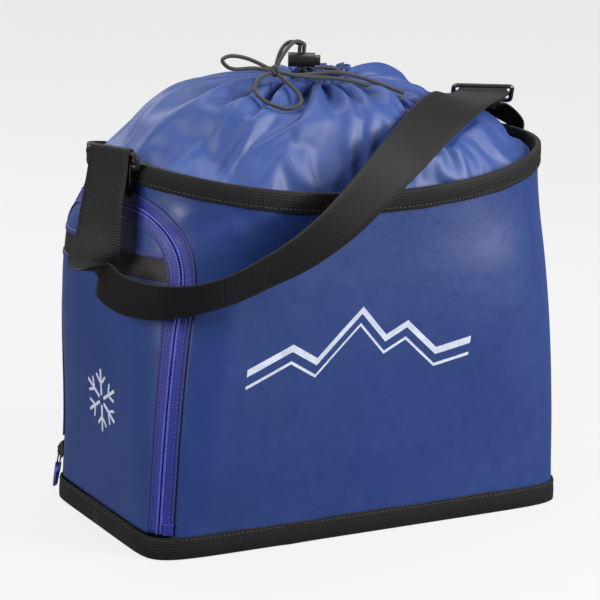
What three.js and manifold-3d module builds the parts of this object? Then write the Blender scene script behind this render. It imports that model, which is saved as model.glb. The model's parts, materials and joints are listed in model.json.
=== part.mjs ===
// Ski boot bag: a soft rectangular bag with a drawstring top, a zipped ventilated door in its left end
// and a webbing shoulder strap. Millimetres, +Z up, X along the width, the front faces -Y.
// The origin is the centre of the underside.
import * as THREE from "three";
import { mergeVertices } from "three/addons/utils/BufferGeometryUtils.js";
import Module from "manifold-3d";

const wasm = await Module();
wasm.setup();

// ---- Driving dimensions
const HEIGHT = 340; // rim height at the middle of the front and back
const RIM_RISE = 28; // how much higher the rim is at the two ends
const BASE = { a: 230, b: 122.5, n: 11 }; // half width, half depth and squareness of the foot
const RIM = { a: 224, b: 139, n: 2.9 }; // the same at the rim, where the bag is rounder
const END_BULGE = 18; // how far the filled left end bulges out behind the door
const CLOTH = 2; // padded laminate of the walls
const BINDING = 2; // folded webbing of the bindings
const GAP = 0.4; // space kept between neighbouring pieces
const BAND_GAP = 0.7; // slack between the walls and the bindings round them
const BASE_BAND = 22; // height of the binding round the foot
const RIM_BAND = 20; // height of the binding round the rim
const ZIP_S = 113; // zip centre line, measured along the end wall from its middle
const ZIP_HALF = 12; // half width of the whole closed zip
const ARCH_TOP = 324; // zip centre line at the top of the arch
const ARCH_R = 68; // radius of the arch's corners
const DOOR_FOOT = 25; // lower edge of the door
const VENT = { low: 258, high: 284 }; // mesh band across the door
const WEBBING = { width: 50, thick: 1.8 };
const CORD_R = 1.9;
const NECK = { r: 25, z: 430 }; // gathered neck of the drawstring top

// ---- Materials
const paint = (color, roughness, metalness = 0) =>
  new THREE.MeshStandardMaterial({ color, roughness, metalness });
const BLUE = paint(0x2a4488, 0.45);
const ZIP_BLUE = paint(0x24357f, 0.6);
const BLACK = paint(0x26252a, 0.75);
const PLASTIC = paint(0x1b1b1d, 0.4);
const MESH = paint(0x2b2a28, 0.9);
const METAL = paint(0x3c3a3a, 0.35, 0.9);
const BOARD = paint(0x3a3a3c, 0.7);

const group = new THREE.Group();
const V = (x, y, z) => new THREE.Vector3(x, y, z);
const lerp = THREE.MathUtils.lerp;
const smooth = (x, low, high) => THREE.MathUtils.smoothstep(x, low, high);

// Merges a geometry's vertices and turns its faces outwards.
function closed(geometry) {
  geometry.deleteAttribute("normal");
  geometry.deleteAttribute("uv");
  const merged = mergeVertices(geometry, 1e-4);
  const p = merged.getAttribute("position");
  const index = merged.index.array;
  const corner = (i) => new THREE.Vector3().fromBufferAttribute(p, index[i]);
  let volume = 0;
  for (let i = 0; i < index.length; i += 3) {
    volume += corner(i).dot(corner(i + 1).cross(corner(i + 2)));
  }
  if (volume < 0) merged.index.array.reverse();
  return merged;
}

function add(name, geometry, material) {
  const mesh = new THREE.Mesh(closed(geometry), material);
  mesh.name = name;
  group.add(mesh);
  return mesh;
}

// ---- Closed solids bent from three.js primitives
// A plate: u and v run 0 to 1 over its face, and w runs 0 to 1 through its thickness.
function plate(nu, nv, place) {
  const geometry = new THREE.BoxGeometry(1, 1, 1, nu, nv, 1);
  const p = geometry.getAttribute("position");
  for (let i = 0; i < p.count; i++) {
    const q = place(p.getX(i) + 0.5, p.getY(i) + 0.5, p.getZ(i) + 0.5);
    p.setXYZ(i, q.x, q.y, q.z);
  }
  return geometry;
}

// A closed ring: v runs round the ring, and u runs round its cross-section.
function ring(nSection, nRound, place) {
  const geometry = new THREE.TorusGeometry(1, 0.5, nSection, nRound);
  const p = geometry.getAttribute("position");
  const uv = geometry.getAttribute("uv");
  for (let i = 0; i < p.count; i++) {
    const q = place(uv.getY(i) % 1, uv.getX(i) % 1);
    p.setXYZ(i, q.x, q.y, q.z);
  }
  return geometry;
}

// A flat outline (shape x, y) carried along a path: place(x, y, t) with t from 0 to 1.
function sweep(shape, steps, place) {
  const geometry = new THREE.ExtrudeGeometry(shape, {
    depth: 1,
    steps,
    bevelEnabled: false,
    curveSegments: 4,
  });
  const p = geometry.getAttribute("position");
  for (let i = 0; i < p.count; i++) {
    const q = place(p.getX(i), p.getY(i), p.getZ(i));
    p.setXYZ(i, q.x, q.y, q.z);
  }
  return geometry;
}

// A round cord along a smooth curve through the points.
function cord(points, radius, steps, sides = 6) {
  const path = new THREE.CatmullRomCurve3(
    points.map((q) => V(...q)),
    false,
    "centripetal",
  );
  const circle = new THREE.Shape();
  for (let i = 0; i < sides; i++) {
    const a = (2 * Math.PI * i) / sides;
    circle[i ? "lineTo" : "moveTo"](radius * Math.cos(a), radius * Math.sin(a));
  }
  return new THREE.ExtrudeGeometry(circle, {
    steps,
    extrudePath: path,
    bevelEnabled: false,
  });
}

// ---- The bag's wall
// Cross-section at height share t: a superellipse between the square foot and the rounder rim.
function section(t) {
  return {
    a: lerp(BASE.a, RIM.a, t),
    b: lerp(BASE.b, RIM.b, t ** 1.3),
    n: RIM.n + (BASE.n - RIM.n) * (1 - t) ** 1.5,
  };
}

const SAMPLES = 360;
const tables = new Map();
// Half perimeter from the middle of the left end (0) along the front to the middle of the right end.
function table(t) {
  const key = Math.round(t * 2000);
  if (!tables.has(key)) {
    const { a, b, n } = section(t);
    const rows = [];
    let length = 0;
    for (let i = 0; i <= SAMPLES; i++) {
      const angle = (Math.PI * i) / SAMPLES;
      const c = Math.cos(angle);
      const x = -a * Math.sign(c) * Math.abs(c) ** (2 / n);
      const y = -b * Math.abs(Math.sin(angle)) ** (2 / n);
      if (i) length += Math.hypot(x - rows[i - 1].x, y - rows[i - 1].y);
      rows.push({ x, y, length });
    }
    tables.set(key, rows);
  }
  return tables.get(key);
}

const share = (z) => THREE.MathUtils.clamp(z / HEIGHT, 0, 1);
const halfPerimeter = (z) => table(share(z))[SAMPLES].length;

// The bare wall at distance s from the middle of the left end, positive towards the front.
function bareWall(s, z) {
  const rows = table(share(z));
  const total = rows[SAMPLES].length;
  let d = Math.abs(s) % (2 * total);
  const back = d > total ? s > 0 : s < 0;
  if (d > total) d = 2 * total - d;
  let low = 0;
  let high = SAMPLES;
  while (high - low > 1) {
    const mid = (low + high) >> 1;
    if (rows[mid].length > d) high = mid;
    else low = mid;
  }
  const k = (d - rows[low].length) / (rows[high].length - rows[low].length || 1);
  const x = lerp(rows[low].x, rows[high].x, k);
  const y = lerp(rows[low].y, rows[high].y, k);
  // The filled end bulges towards -X, most at the back corner, and fades out along the back wall.
  const along = (1 - smooth(s, -60, 100)) * smooth(s, -330, -150);
  const up = smooth(z, 60, 280) * (1 - smooth(z, 280, 332));
  return V(x - END_BULGE * along * up, back ? -y : y, z);
}

// The wall moved outwards by off.
function wall(s, z, off = 0) {
  const p = bareWall(s, z);
  const step = 2;
  const along = bareWall(s + step, z).sub(bareWall(s - step, z));
  const out = V(along.y, -along.x, 0).normalize();
  return p.addScaledVector(out, off);
}

const rimZ = (x) => HEIGHT + RIM_RISE * (x / RIM.a) ** 2;
const topOf = (s) => rimZ(bareWall(s, HEIGHT).x);

// The section's angle at distance s, and back: even steps in it crowd round the corners.
function angleAt(s, z) {
  const rows = table(share(z));
  const total = rows[SAMPLES].length;
  const d = s > total ? 2 * total - s : Math.abs(s);
  const i = Math.max(1, rows.findIndex((row) => row.length >= Math.min(d, total - 1e-6)));
  const k = (d - rows[i - 1].length) / (rows[i].length - rows[i - 1].length);
  const angle = (Math.PI * (i - 1 + k)) / SAMPLES;
  if (s < 0) return -angle;
  return s > total ? 2 * Math.PI - angle : angle;
}
function distanceAt(angle, z) {
  const rows = table(share(z));
  const turned = Math.abs(angle) > Math.PI ? 2 * Math.PI - Math.abs(angle) : Math.abs(angle);
  const i = Math.min(SAMPLES - 1, Math.floor((turned / Math.PI) * SAMPLES));
  const k = (turned / Math.PI) * SAMPLES - i;
  const d = lerp(rows[i].length, rows[i + 1].length, k);
  const s = Math.abs(angle) > Math.PI ? 2 * rows[SAMPLES].length - d : d;
  return Math.sign(angle) * s;
}

// Height of row i of n between low and the panel's top edge, with a row where the rim binding starts.
function rowZ(s, low, i, n) {
  const top = topOf(s);
  return i === n ? top - BINDING - BAND_GAP : lerp(low, top - RIM_BAND, i / (n - 1));
}

// A wall panel from s0 to s1 (both functions of z), between the foot and the rim.
function panel(nu, nv, s0, s1) {
  return plate(nu, nv, (u, v, w) => {
    const across = (z) => distanceAt(lerp(angleAt(s0(z), z), angleAt(s1(z), z), u), z);
    const z = rowZ(across(HEIGHT), PANEL_LOW, Math.round(v * nv), nv);
    return wall(across(z), z, -CLOTH * (1 - w));
  });
}

const EDGE = ZIP_S + ZIP_HALF + 3 * GAP; // where the front and back panels start
const PANEL_LOW = 4;
add(
  "front_panel",
  panel(26, 15, () => EDGE, (z) => halfPerimeter(z) - EDGE - GAP),
  BLUE,
);
add(
  "back_panel",
  panel(26, 15, (z) => EDGE + GAP - halfPerimeter(z), () => -EDGE - 0.8),
  BLUE,
);
add(
  "right_end_panel",
  panel(26, 9, (z) => halfPerimeter(z) - EDGE, (z) => halfPerimeter(z) + EDGE),
  BLUE,
);

// ---- Zip and door in the left end
// The zip's centre line: up the front leg, over the arch and down the rear leg, with its normal.
const ARCH_Z = ARCH_TOP - ARCH_R;
const FLAT = ZIP_S - ARCH_R;
const LEG = ARCH_Z - DOOR_FOOT;
const QUARTER = (Math.PI / 2) * ARCH_R;
const ZIP_LENGTH = 2 * LEG + 2 * QUARTER + 2 * FLAT;
function zipLine(t) {
  const half = ZIP_LENGTH / 2;
  const d = t * ZIP_LENGTH;
  const side = d <= half ? 1 : -1;
  const k = d <= half ? d : ZIP_LENGTH - d;
  if (k <= LEG) return { s: side * ZIP_S, z: DOOR_FOOT + k, ns: side, nz: 0 };
  if (k <= LEG + QUARTER) {
    const angle = (k - LEG) / ARCH_R;
    return {
      s: side * (FLAT + ARCH_R * Math.cos(angle)),
      z: ARCH_Z + ARCH_R * Math.sin(angle),
      ns: side * Math.cos(angle),
      nz: Math.sin(angle),
    };
  }
  return { s: side * (FLAT - (k - LEG - QUARTER)), z: ARCH_TOP, ns: 0, nz: 1 };
}

// A strip that follows the zip: across from q0 to q1 (outwards is positive), standing between two offsets.
function zipStrip(steps, q0, q1, off0, off1, from = 0, to = 1) {
  return plate(steps, 1, (u, v, w) => {
    const p = zipLine(lerp(from, to, u));
    const q = lerp(q1, q0, v);
    return wall(p.s + q * p.ns, p.z + q * p.nz, lerp(off1, off0, w));
  });
}
const COIL_HALF = 3; // half width of the two meshed coils
const COIL_HIGH = 1.5;
const TAPE = 1;
// The door's half of the zip ends above the slider, which holds the bag's half alone at rest.
const SLIDER_Z = 46;
const DOOR_HALF_END = 1 - (SLIDER_Z + 18 - DOOR_FOOT) / ZIP_LENGTH;
add("zip_tape_bag", zipStrip(76, 0.3, ZIP_HALF, -TAPE, 0), ZIP_BLUE);
add("zip_tape_door", zipStrip(72, -ZIP_HALF, -0.3, -TAPE, 0, 0, DOOR_HALF_END), ZIP_BLUE);
add("zip_coil_bag", zipStrip(76, 0.3, COIL_HALF, 0.5, COIL_HIGH), ZIP_BLUE);
add("zip_coil_door", zipStrip(72, -COIL_HALF, -0.3, 0.5, COIL_HIGH, 0, DOOR_HALF_END), ZIP_BLUE);

// Half width of the door at height z, inset from the zip's centre line.
function doorHalf(z, inset) {
  const radius = ARCH_R - inset;
  const rise = THREE.MathUtils.clamp(z - ARCH_Z, 0, radius);
  return FLAT + Math.sqrt(radius ** 2 - rise ** 2);
}
const INSET = ZIP_HALF + GAP;
function doorPanel(nu, nv, low, high, off) {
  return plate(nu, nv, (u, v, w) => {
    const z = lerp(low, high, v > 0 && high > ARCH_Z ? Math.sin((v * Math.PI) / 2) : v);
    return wall(lerp(-1, 1, u) * doorHalf(z, INSET), z, off - CLOTH * w);
  });
}
add("door_lower_panel", doorPanel(12, 7, DOOR_FOOT, VENT.low - GAP, 0), BLUE);
add("door_vent_mesh", doorPanel(12, 1, VENT.low, VENT.high, -0.4), MESH);
add("door_upper_panel", doorPanel(14, 5, VENT.high + GAP, ARCH_TOP - INSET, 0), BLUE);

// Header: the fixed piece between the arch and the rim.
add(
  "left_header",
  plate(32, 6, (u, v, w) => {
    const outer = ZIP_HALF + GAP;
    const s = (ZIP_S + outer) * Math.sin(lerp(-0.5, 0.5, u) * Math.PI);
    const radius = ARCH_R + outer;
    const over = Math.max(0, Math.abs(s) - FLAT);
    const low = ARCH_Z + Math.sqrt(Math.max(0, radius ** 2 - over ** 2));
    return wall(s, rowZ(s, low, Math.round(v * 6), 6), -CLOTH * w);
  }),
  BLUE,
);

// Stops sewn beside the two lower ends of the zip, on the bag's half.
function zipStop(side) {
  return plate(4, 1, (u, v, w) =>
    wall(
      side * lerp(ZIP_S + COIL_HALF + GAP, ZIP_S + ZIP_HALF, u),
      lerp(DOOR_FOOT, DOOR_FOOT + 10, v),
      lerp(0.3, 1.5, w),
    ),
  );
}
add("zip_stop_front", zipStop(1), ZIP_BLUE);
add("zip_stop_rear", zipStop(-1), ZIP_BLUE);

// ---- Foot: outer bottom, stiffening board and the binding round them
function floorPlate(low, high, inset) {
  const outline = new THREE.Shape();
  const steps = 96;
  for (let i = 0; i < steps; i++) {
    const p = wall(distanceAt((2 * Math.PI * i) / steps, 0), 0, -inset);
    outline[i ? "lineTo" : "moveTo"](p.x, p.y);
  }
  const geometry = new THREE.ExtrudeGeometry(outline, {
    depth: high - low,
    bevelEnabled: false,
  });
  return geometry.translate(0, 0, low);
}
add("base_panel", floorPlate(0, 2, 0.4), BLACK);
add("base_board", floorPlate(2.6, 5.6, CLOTH + 1), BOARD);

// Height ranges and offsets of a rectangular binding section, walked once round.
function band(nRound, low, high, inner, outer) {
  const corners = [
    [inner, low],
    [outer, low],
    [outer, high],
    [inner, high],
  ];
  return ring(corners.length, nRound, (u, v) => {
    const [off, z] = corners[Math.round(u * corners.length) % corners.length];
    return wall(distanceAt(2 * Math.PI * v, z), z, off);
  });
}
add("base_binding", band(120, 0, BASE_BAND, BAND_GAP, BAND_GAP + BINDING), BLACK);

// The rim binding is folded over the walls' top edge, so its section is a U open downwards.
const U_SECTION = [
  [BAND_GAP, -RIM_BAND],
  [BAND_GAP + BINDING, -RIM_BAND],
  [BAND_GAP + BINDING, 0],
  [-CLOTH - BAND_GAP - BINDING, 0],
  [-CLOTH - BAND_GAP - BINDING, -RIM_BAND],
  [-CLOTH - BAND_GAP, -RIM_BAND],
  [-CLOTH - BAND_GAP, -BINDING],
  [BAND_GAP, -BINDING],
];
add(
  "rim_binding",
  ring(U_SECTION.length, 120, (u, v) => {
    const [off, dz] = U_SECTION[Math.round(u * U_SECTION.length) % U_SECTION.length];
    const s = distanceAt(2 * Math.PI * v, HEIGHT);
    return wall(s, topOf(s) + dz, off);
  }),
  BLACK,
);

// ---- Drawstring top: a dome of cloth from the rim to the gathered neck
const COLLAR_IN = CLOTH + BAND_GAP + BINDING + GAP; // inside the rim binding
const COLLAR_CLOTH = 1.6;
const STRAP_DIP = { angle: -0.46, width: 0.6, depth: 20 }; // where the strap lies over the cloth
function dome(k, v, off) {
  const s = distanceAt(2 * Math.PI * v, HEIGHT);
  const foot = wall(s, topOf(s) - RIM_BAND + 2, -COLLAR_IN - COLLAR_CLOTH);
  const around = Math.atan2(foot.y, foot.x);
  const rise = NECK.z - 8 - foot.z;
  const level = (r) => {
    const dip = Math.exp(-(((around - STRAP_DIP.angle) / STRAP_DIP.width) ** 2));
    const full = 0.84 * (1 - Math.max(0, 1 - r) ** 2.6) + 0.16 * r ** 3;
    return foot.z + rise * full - STRAP_DIP.depth * dip * Math.sin(Math.PI * r);
  };
  const reach = k ** 1.6;
  const length = Math.hypot(foot.x, foot.y);
  const slope = (level(reach + 0.01) - level(reach - 0.01)) / (0.02 * (length - NECK.r));
  const tilt = Math.atan(Math.min(Math.max(slope, 0), 6));
  const radius = lerp(length, NECK.r, reach) + off * Math.sin(tilt);
  return V(
    radius * Math.cos(around),
    radius * Math.sin(around),
    level(reach) + off * Math.cos(tilt),
  );
}
const DOME_ROWS = 9;
add(
  "collar",
  ring(2 * DOME_ROWS + 2, 64, (u, v) => {
    const row = Math.round(u * (2 * DOME_ROWS + 2));
    const outside = row <= DOME_ROWS;
    const k = outside ? row / DOME_ROWS : (2 * DOME_ROWS + 1 - row) / DOME_ROWS;
    return dome(k, v, outside ? COLLAR_CLOTH : 0);
  }),
  BLUE,
);

// The hem channel at the neck, open below, with a slot where the cord comes out.
const CHANNEL = { in: 2.7, out: 4.3, down: 5 };
const SLOT_AT = (212 * Math.PI) / 180;
const SLOT_HALF = 0.34;
const channelShape = new THREE.Shape([
  new THREE.Vector2(CHANNEL.in, -CHANNEL.down),
  new THREE.Vector2(CHANNEL.out, -CHANNEL.down),
  new THREE.Vector2(CHANNEL.out, CHANNEL.in),
  new THREE.Vector2(CHANNEL.in, CHANNEL.out),
  new THREE.Vector2(-CHANNEL.in, CHANNEL.out),
  new THREE.Vector2(-CHANNEL.out, CHANNEL.in),
  new THREE.Vector2(-CHANNEL.out, -CHANNEL.down),
  new THREE.Vector2(-CHANNEL.in, -CHANNEL.down),
  new THREE.Vector2(-CHANNEL.in, CHANNEL.in - 0.6),
  new THREE.Vector2(CHANNEL.in, CHANNEL.in - 0.6),
]);
const RING_R = 20; // radius of the cord inside the hem channel
add(
  "collar_hem",
  sweep(channelShape, 40, (x, y, t) => {
    const angle = SLOT_AT + SLOT_HALF + t * 2 * (Math.PI - SLOT_HALF);
    return V((RING_R + x) * Math.cos(angle), (RING_R + x) * Math.sin(angle), NECK.z + 4 + y);
  }),
  BLUE,
);

// ---- Booleans
function solid(geometry) {
  const g = closed(geometry);
  return new wasm.Manifold(
    new wasm.Mesh({
      numProp: 3,
      vertProperties: g.getAttribute("position").array,
      triVerts: new Uint32Array(g.index.array),
    }),
  );
}

function geometryOf(body) {
  const mesh = body.getMesh();
  const geometry = new THREE.BufferGeometry();
  geometry.setAttribute("position", new THREE.BufferAttribute(mesh.vertProperties, 3));
  geometry.setIndex(new THREE.BufferAttribute(mesh.triVerts, 1));
  return geometry;
}

// ---- Cord lock on the doubled cord, standing over the slot
const AXIS = V(0.876, -0.482, 0); // long way of the lock, and of the strap's bars
const FRONT = V(-0.482, -0.876, 0); // square to it, towards the front
const UP = V(0, 0, 1);
const LOCK = V(-30, -18, 448.5);
const BARREL = { r: 7, half: 13, bore: 5.4, wall: 1.6 };
const BUTTON = { r: 5, inner: -6.3, outer: 18, hole: [-4.6, 8.1] };
const CORD_GAP = 2.1; // half the distance between the two cords

// A place given as distances along the lock, towards the front and up.
const at = (origin, along, front, up) =>
  origin.clone().addScaledVector(AXIS, along).addScaledVector(FRONT, front).addScaledVector(UP, up);

// A round bar along the lock's axis, and a block with an oval plan.
function bar(origin, r, from, to, sides = 24) {
  const g = new THREE.CylinderGeometry(r, r, 1, sides, 1);
  const p = g.getAttribute("position");
  for (let i = 0; i < p.count; i++) {
    const q = at(origin, lerp(from, to, p.getY(i) + 0.5), p.getX(i), p.getZ(i));
    p.setXYZ(i, q.x, q.y, q.z);
  }
  return solid(g);
}
function block(origin, along, half, front) {
  return solid(
    plate(1, 1, (u, v, w) =>
      at(origin, lerp(along[0], along[1], u), lerp(-front, front, v), lerp(-half, half, w)),
    ),
  );
}
const HOLE_HALF = CORD_R + 0.5;
const HOLE_ALONG = CORD_GAP + CORD_R + 0.5;
add(
  "cord_lock_body",
  geometryOf(
    bar(LOCK, BARREL.r, -BARREL.half, BARREL.half)
      .subtract(bar(LOCK, BARREL.bore, -BARREL.half + BARREL.wall, BARREL.half + 1))
      .subtract(block(LOCK, [-HOLE_ALONG, HOLE_ALONG], 20, HOLE_HALF)),
  ),
  PLASTIC,
);
add(
  "cord_lock_button",
  geometryOf(
    bar(LOCK, BUTTON.r, BUTTON.inner, BUTTON.outer).subtract(
      block(LOCK, BUTTON.hole, 20, HOLE_HALF),
    ),
  ),
  PLASTIC,
);

// ---- Drawstring: round the hem, out through the slot, up through the lock and tied beside it
const HEM_Z = NECK.z + 4;
function hemCord() {
  const points = [];
  const steps = 24;
  const half = SLOT_HALF * 0.75;
  for (let i = 0; i <= steps; i++) {
    const angle = SLOT_AT + half + (i / steps) * 2 * (Math.PI - half);
    points.push([RING_R * Math.cos(angle), RING_R * Math.sin(angle), HEM_Z]);
  }
  return points;
}
const riser = (side, up) => at(LOCK, side * CORD_GAP, 0, up).toArray();
const KNOT = [-70, -38, 442];
const hem = hemCord();
const drawcord = [
  // One length from the knot to the knot, with the hem ring in its middle.
  cord(
    [
      KNOT,
      [-58, -27, 459],
      [-44, -18, 465],
      riser(-1, 13),
      riser(-1, 6),
      riser(-1, -6),
      riser(-1, -10),
      ...hem.reverse(),
      riser(1, -10),
      riser(1, -6),
      riser(1, 6),
      riser(1, 13),
      [-41, -24, 466],
      [-58, -33, 457],
      KNOT,
    ],
    CORD_R,
    120,
  ),
  // The bow's side loop, its hanging loop and the two ends.
  cord([KNOT, [-102, -36, 456], [-125, -38, 456], [-118, -40, 447], [-92, -40, 446], KNOT], CORD_R, 24),
  cord([KNOT, [-94, -50, 436], [-101, -64, 424], [-80, -82, 413], [-62, -78, 420], KNOT], CORD_R, 24),
  cord([KNOT, [-50, -44, 438], [-5, -38, 436], [30, -40, 428], [66, -52, 414]], CORD_R, 16),
  cord([KNOT, [-50, -50, 436], [-5, -50, 430], [30, -48, 421], [60, -60, 410]], CORD_R, 16),
  new THREE.SphereGeometry(5, 16, 10).translate(...KNOT),
];
add("drawcord", geometryOf(drawcord.map(solid).reduce((sum, part) => sum.add(part))), BLACK);

// ---- Zip slider on the rear leg, with its wire loop and pull tab
const SLIDER = { half: 8, inner: 4.3, outer: 5.7, under: 2.4, top: 3.9, foot: 0.7 };
const seat = wall(-ZIP_S, SLIDER_Z, 0);
const LEG_UP = wall(-ZIP_S, SLIDER_Z + 60).sub(wall(-ZIP_S, SLIDER_Z)).normalize();
const LEG_SIDE = wall(-ZIP_S - 2, SLIDER_Z).sub(wall(-ZIP_S + 2, SLIDER_Z)).normalize();
const LEG_OUT = new THREE.Vector3().crossVectors(LEG_UP, LEG_SIDE).normalize();
const onLeg = (side, out, up) =>
  seat.clone().addScaledVector(LEG_SIDE, side).addScaledVector(LEG_OUT, out).addScaledVector(LEG_UP, up);
const channel = new THREE.Shape(
  [
    [-SLIDER.outer, SLIDER.foot],
    [-SLIDER.inner, SLIDER.foot],
    [-SLIDER.inner, SLIDER.under],
    [SLIDER.inner, SLIDER.under],
    [SLIDER.inner, SLIDER.foot],
    [SLIDER.outer, SLIDER.foot],
    [SLIDER.outer, SLIDER.top - 0.8],
    [SLIDER.outer - 0.8, SLIDER.top],
    [0.8 - SLIDER.outer, SLIDER.top],
    [-SLIDER.outer, SLIDER.top - 0.8],
  ].map(([x, y]) => new THREE.Vector2(x, y)),
);
const WIRE_R = 0.8;
const EYE = { out: 5.6, up: -3, r: 1.3 }; // hole of the slider's bridge
const bridge = new THREE.Shape(
  [
    [-SLIDER.half + 1, SLIDER.top - 0.3],
    [SLIDER.half - 2, SLIDER.top - 0.3],
    [SLIDER.half - 3, SLIDER.top + 2.6],
    [SLIDER.half - 6, EYE.out + 2.4],
    [-SLIDER.half + 3, EYE.out + 2.4],
    [-SLIDER.half + 1, SLIDER.top + 2],
  ].map(([x, y]) => new THREE.Vector2(x, y)),
);
bridge.holes.push(new THREE.Path().absarc(EYE.up, EYE.out, EYE.r, 0, 2 * Math.PI));
add(
  "zip_slider_body",
  geometryOf(
    solid(sweep(channel, 1, (x, y, t) => onLeg(x, y, lerp(-SLIDER.half, SLIDER.half, t)))).add(
      solid(sweep(bridge, 1, (x, y, t) => onLeg(lerp(-1.5, 1.5, t), y, x))),
    ),
  ),
  METAL,
);

// A closed round wire or bar frame with rounded corners, in the plane of the two given directions.
function loop(centre, right, up, halfWidth, halfHeight, cornerR, r, arc = 5, sides = 8) {
  const normal = new THREE.Vector3().crossVectors(right, up);
  return ring(sides, 4 * (arc + 1), (u, v) => {
    const i = Math.round(v * 4 * (arc + 1)) % (4 * (arc + 1));
    const corner = Math.floor(i / (arc + 1));
    const angle = ((corner + (i % (arc + 1)) / arc) * Math.PI) / 2;
    const turn = 2 * Math.PI * u;
    const sx = corner === 0 || corner === 3 ? 1 : -1;
    const sy = corner < 2 ? 1 : -1;
    const reach = cornerR + r * Math.cos(turn);
    return centre
      .clone()
      .addScaledVector(right, sx * (halfWidth - cornerR) + reach * Math.cos(angle))
      .addScaledVector(up, sy * (halfHeight - cornerR) + reach * Math.sin(angle))
      .addScaledVector(normal, r * Math.sin(turn));
  });
}
const DOWN_TILT = 0.12; // the hanging pull leans out a little
const PULL_DOWN = LEG_UP.clone().multiplyScalar(-1).addScaledVector(LEG_OUT, DOWN_TILT).normalize();
const eye = onLeg(0, EYE.out, EYE.up);
const LOOP = { halfWidth: 3.6, halfHeight: 7.5 };
const loopCentre = eye.clone().addScaledVector(PULL_DOWN, LOOP.halfHeight);
add(
  "zip_pull_loop",
  loop(loopCentre, LEG_SIDE, PULL_DOWN, LOOP.halfWidth, LOOP.halfHeight, 2.4, WIRE_R),
  METAL,
);
const TAB = { eye: 1.4, half: 4.5, length: 22, thick: 1.6 };
const tabEye = eye.clone().addScaledVector(PULL_DOWN, 2 * LOOP.halfHeight);
const tabShape = new THREE.Shape();
tabShape.moveTo(-1.9, 2.6);
tabShape.lineTo(-1.9, -3);
tabShape.lineTo(-TAB.half, -6);
tabShape.lineTo(-TAB.half, 1 - TAB.length);
tabShape.lineTo(1 - TAB.half, -TAB.length);
tabShape.lineTo(TAB.half - 1, -TAB.length);
tabShape.lineTo(TAB.half, 1 - TAB.length);
tabShape.lineTo(TAB.half, -6);
tabShape.lineTo(1.9, -3);
tabShape.lineTo(1.9, 2.6);
const TAB_OUT = new THREE.Vector3().crossVectors(LEG_SIDE, PULL_DOWN).normalize();
const tabHole = new THREE.CylinderGeometry(TAB.eye, TAB.eye, 20, 16, 1)
  .applyMatrix4(new THREE.Matrix4().makeBasis(TAB_OUT, LEG_SIDE, PULL_DOWN))
  .translate(...tabEye.toArray());
add(
  "zip_pull_tab",
  geometryOf(
    solid(
      sweep(tabShape, 1, (x, y, t) =>
        tabEye
          .clone()
          .addScaledVector(LEG_SIDE, x)
          .addScaledVector(PULL_DOWN, -y)
          .addScaledVector(TAB_OUT, lerp(-2.6, 2.6, t) * (y > -3.1 ? 1 : 0.35)),
      ),
    ).subtract(solid(tabHole)),
  ),
  ZIP_BLUE,
);

// ---- Shoulder strap and its hardware
// A band of webbing: stations are [centre, the way its upper edge points], joined by a smooth curve.
function webbing(stations, width, thick, perStation = 4) {
  const middle = new THREE.CatmullRomCurve3(stations.map(([c]) => V(...c)), false, "centripetal");
  const edges = stations.map(([, e]) => V(...e).normalize());
  const last = stations.length - 1;
  const steps = perStation * last;
  return plate(steps, 2, (u, v, w) => {
    const t = THREE.MathUtils.clamp(u, 0, 1);
    const along = middle.getPoint(Math.min(t + 0.001, 1)).sub(middle.getPoint(Math.max(t - 0.001, 0)));
    const i = Math.min(last - 1, Math.floor(t * last));
    const across = edges[i].clone().lerp(edges[i + 1], t * last - i);
    along.normalize();
    across.addScaledVector(along, -across.dot(along)).normalize();
    const out = new THREE.Vector3().crossVectors(along, across);
    return middle
      .getPoint(t)
      .addScaledVector(across, lerp(-0.5, 0.5, v) * width)
      .addScaledVector(out, lerp(-0.5, 0.5, w) * thick);
  });
}

// Stations round a bar, between two angles in half turns: 0 looks along first, 0.5 along second.
function turn(centre, first, second, across, from = 0, to = 1, steps = 6) {
  return Array.from({ length: steps + 1 }, (_, i) => {
    const angle = Math.PI * lerp(from, to, i / steps);
    const p = centre
      .clone()
      .addScaledVector(first, WRAP * Math.cos(angle))
      .addScaledVector(second, WRAP * Math.sin(angle));
    return [p.toArray(), across.toArray()];
  });
}
const BAR_R = 2.3;
const WRAP = BAR_R + GAP + WEBBING.thick / 2; // webbing's middle line round a bar
const HALF_BAR = WEBBING.width / 2 + 4.5;
const LEFT = AXIS.clone().multiplyScalar(-1);

// The plain ring beside the left end, between the tab and the strap.
const RING_BAR = V(0.407, -0.914, 0);
const RING_OUT = V(-0.914, -0.407, 0);
const ringEdge = RING_BAR.clone().negate();
const ringLow = V(-236, -39, 363);
const ringHigh = V(-240, -42, 377);
const ringSpan = ringHigh.clone().sub(ringLow);
const ringUp = ringSpan.addScaledVector(RING_BAR, -ringSpan.dot(RING_BAR)).normalize();
add(
  "left_ring",
  loop(
    ringLow.clone().lerp(ringHigh, 0.5),
    RING_BAR,
    ringUp,
    HALF_BAR,
    ringLow.distanceTo(ringHigh) / 2,
    5,
    BAR_R,
    4,
  ),
  PLASTIC,
);

// The three-bar adjuster at the right end.
const slideDown = V(0.6, 0.5, -0.62);
slideDown.addScaledVector(AXIS, -slideDown.dot(AXIS)).normalize();
const slideOut = new THREE.Vector3().crossVectors(slideDown, AXIS).normalize();
if (slideOut.z < 0) slideOut.negate();
const slideTop = V(183, -12, 412);
const BAR_STEP = 13;
const slideBar = (i) => slideTop.clone().addScaledVector(slideDown, i * BAR_STEP);
function adjuster() {
  const frame = solid(
    loop(slideBar(1), AXIS, slideDown, HALF_BAR, BAR_STEP, 4, BAR_R, 4),
  );
  return geometryOf(frame.add(bar(slideBar(1), BAR_R, -HALF_BAR, HALF_BAR, 12)));
}
add("strap_adjuster", adjuster(), PLASTIC);

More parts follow.
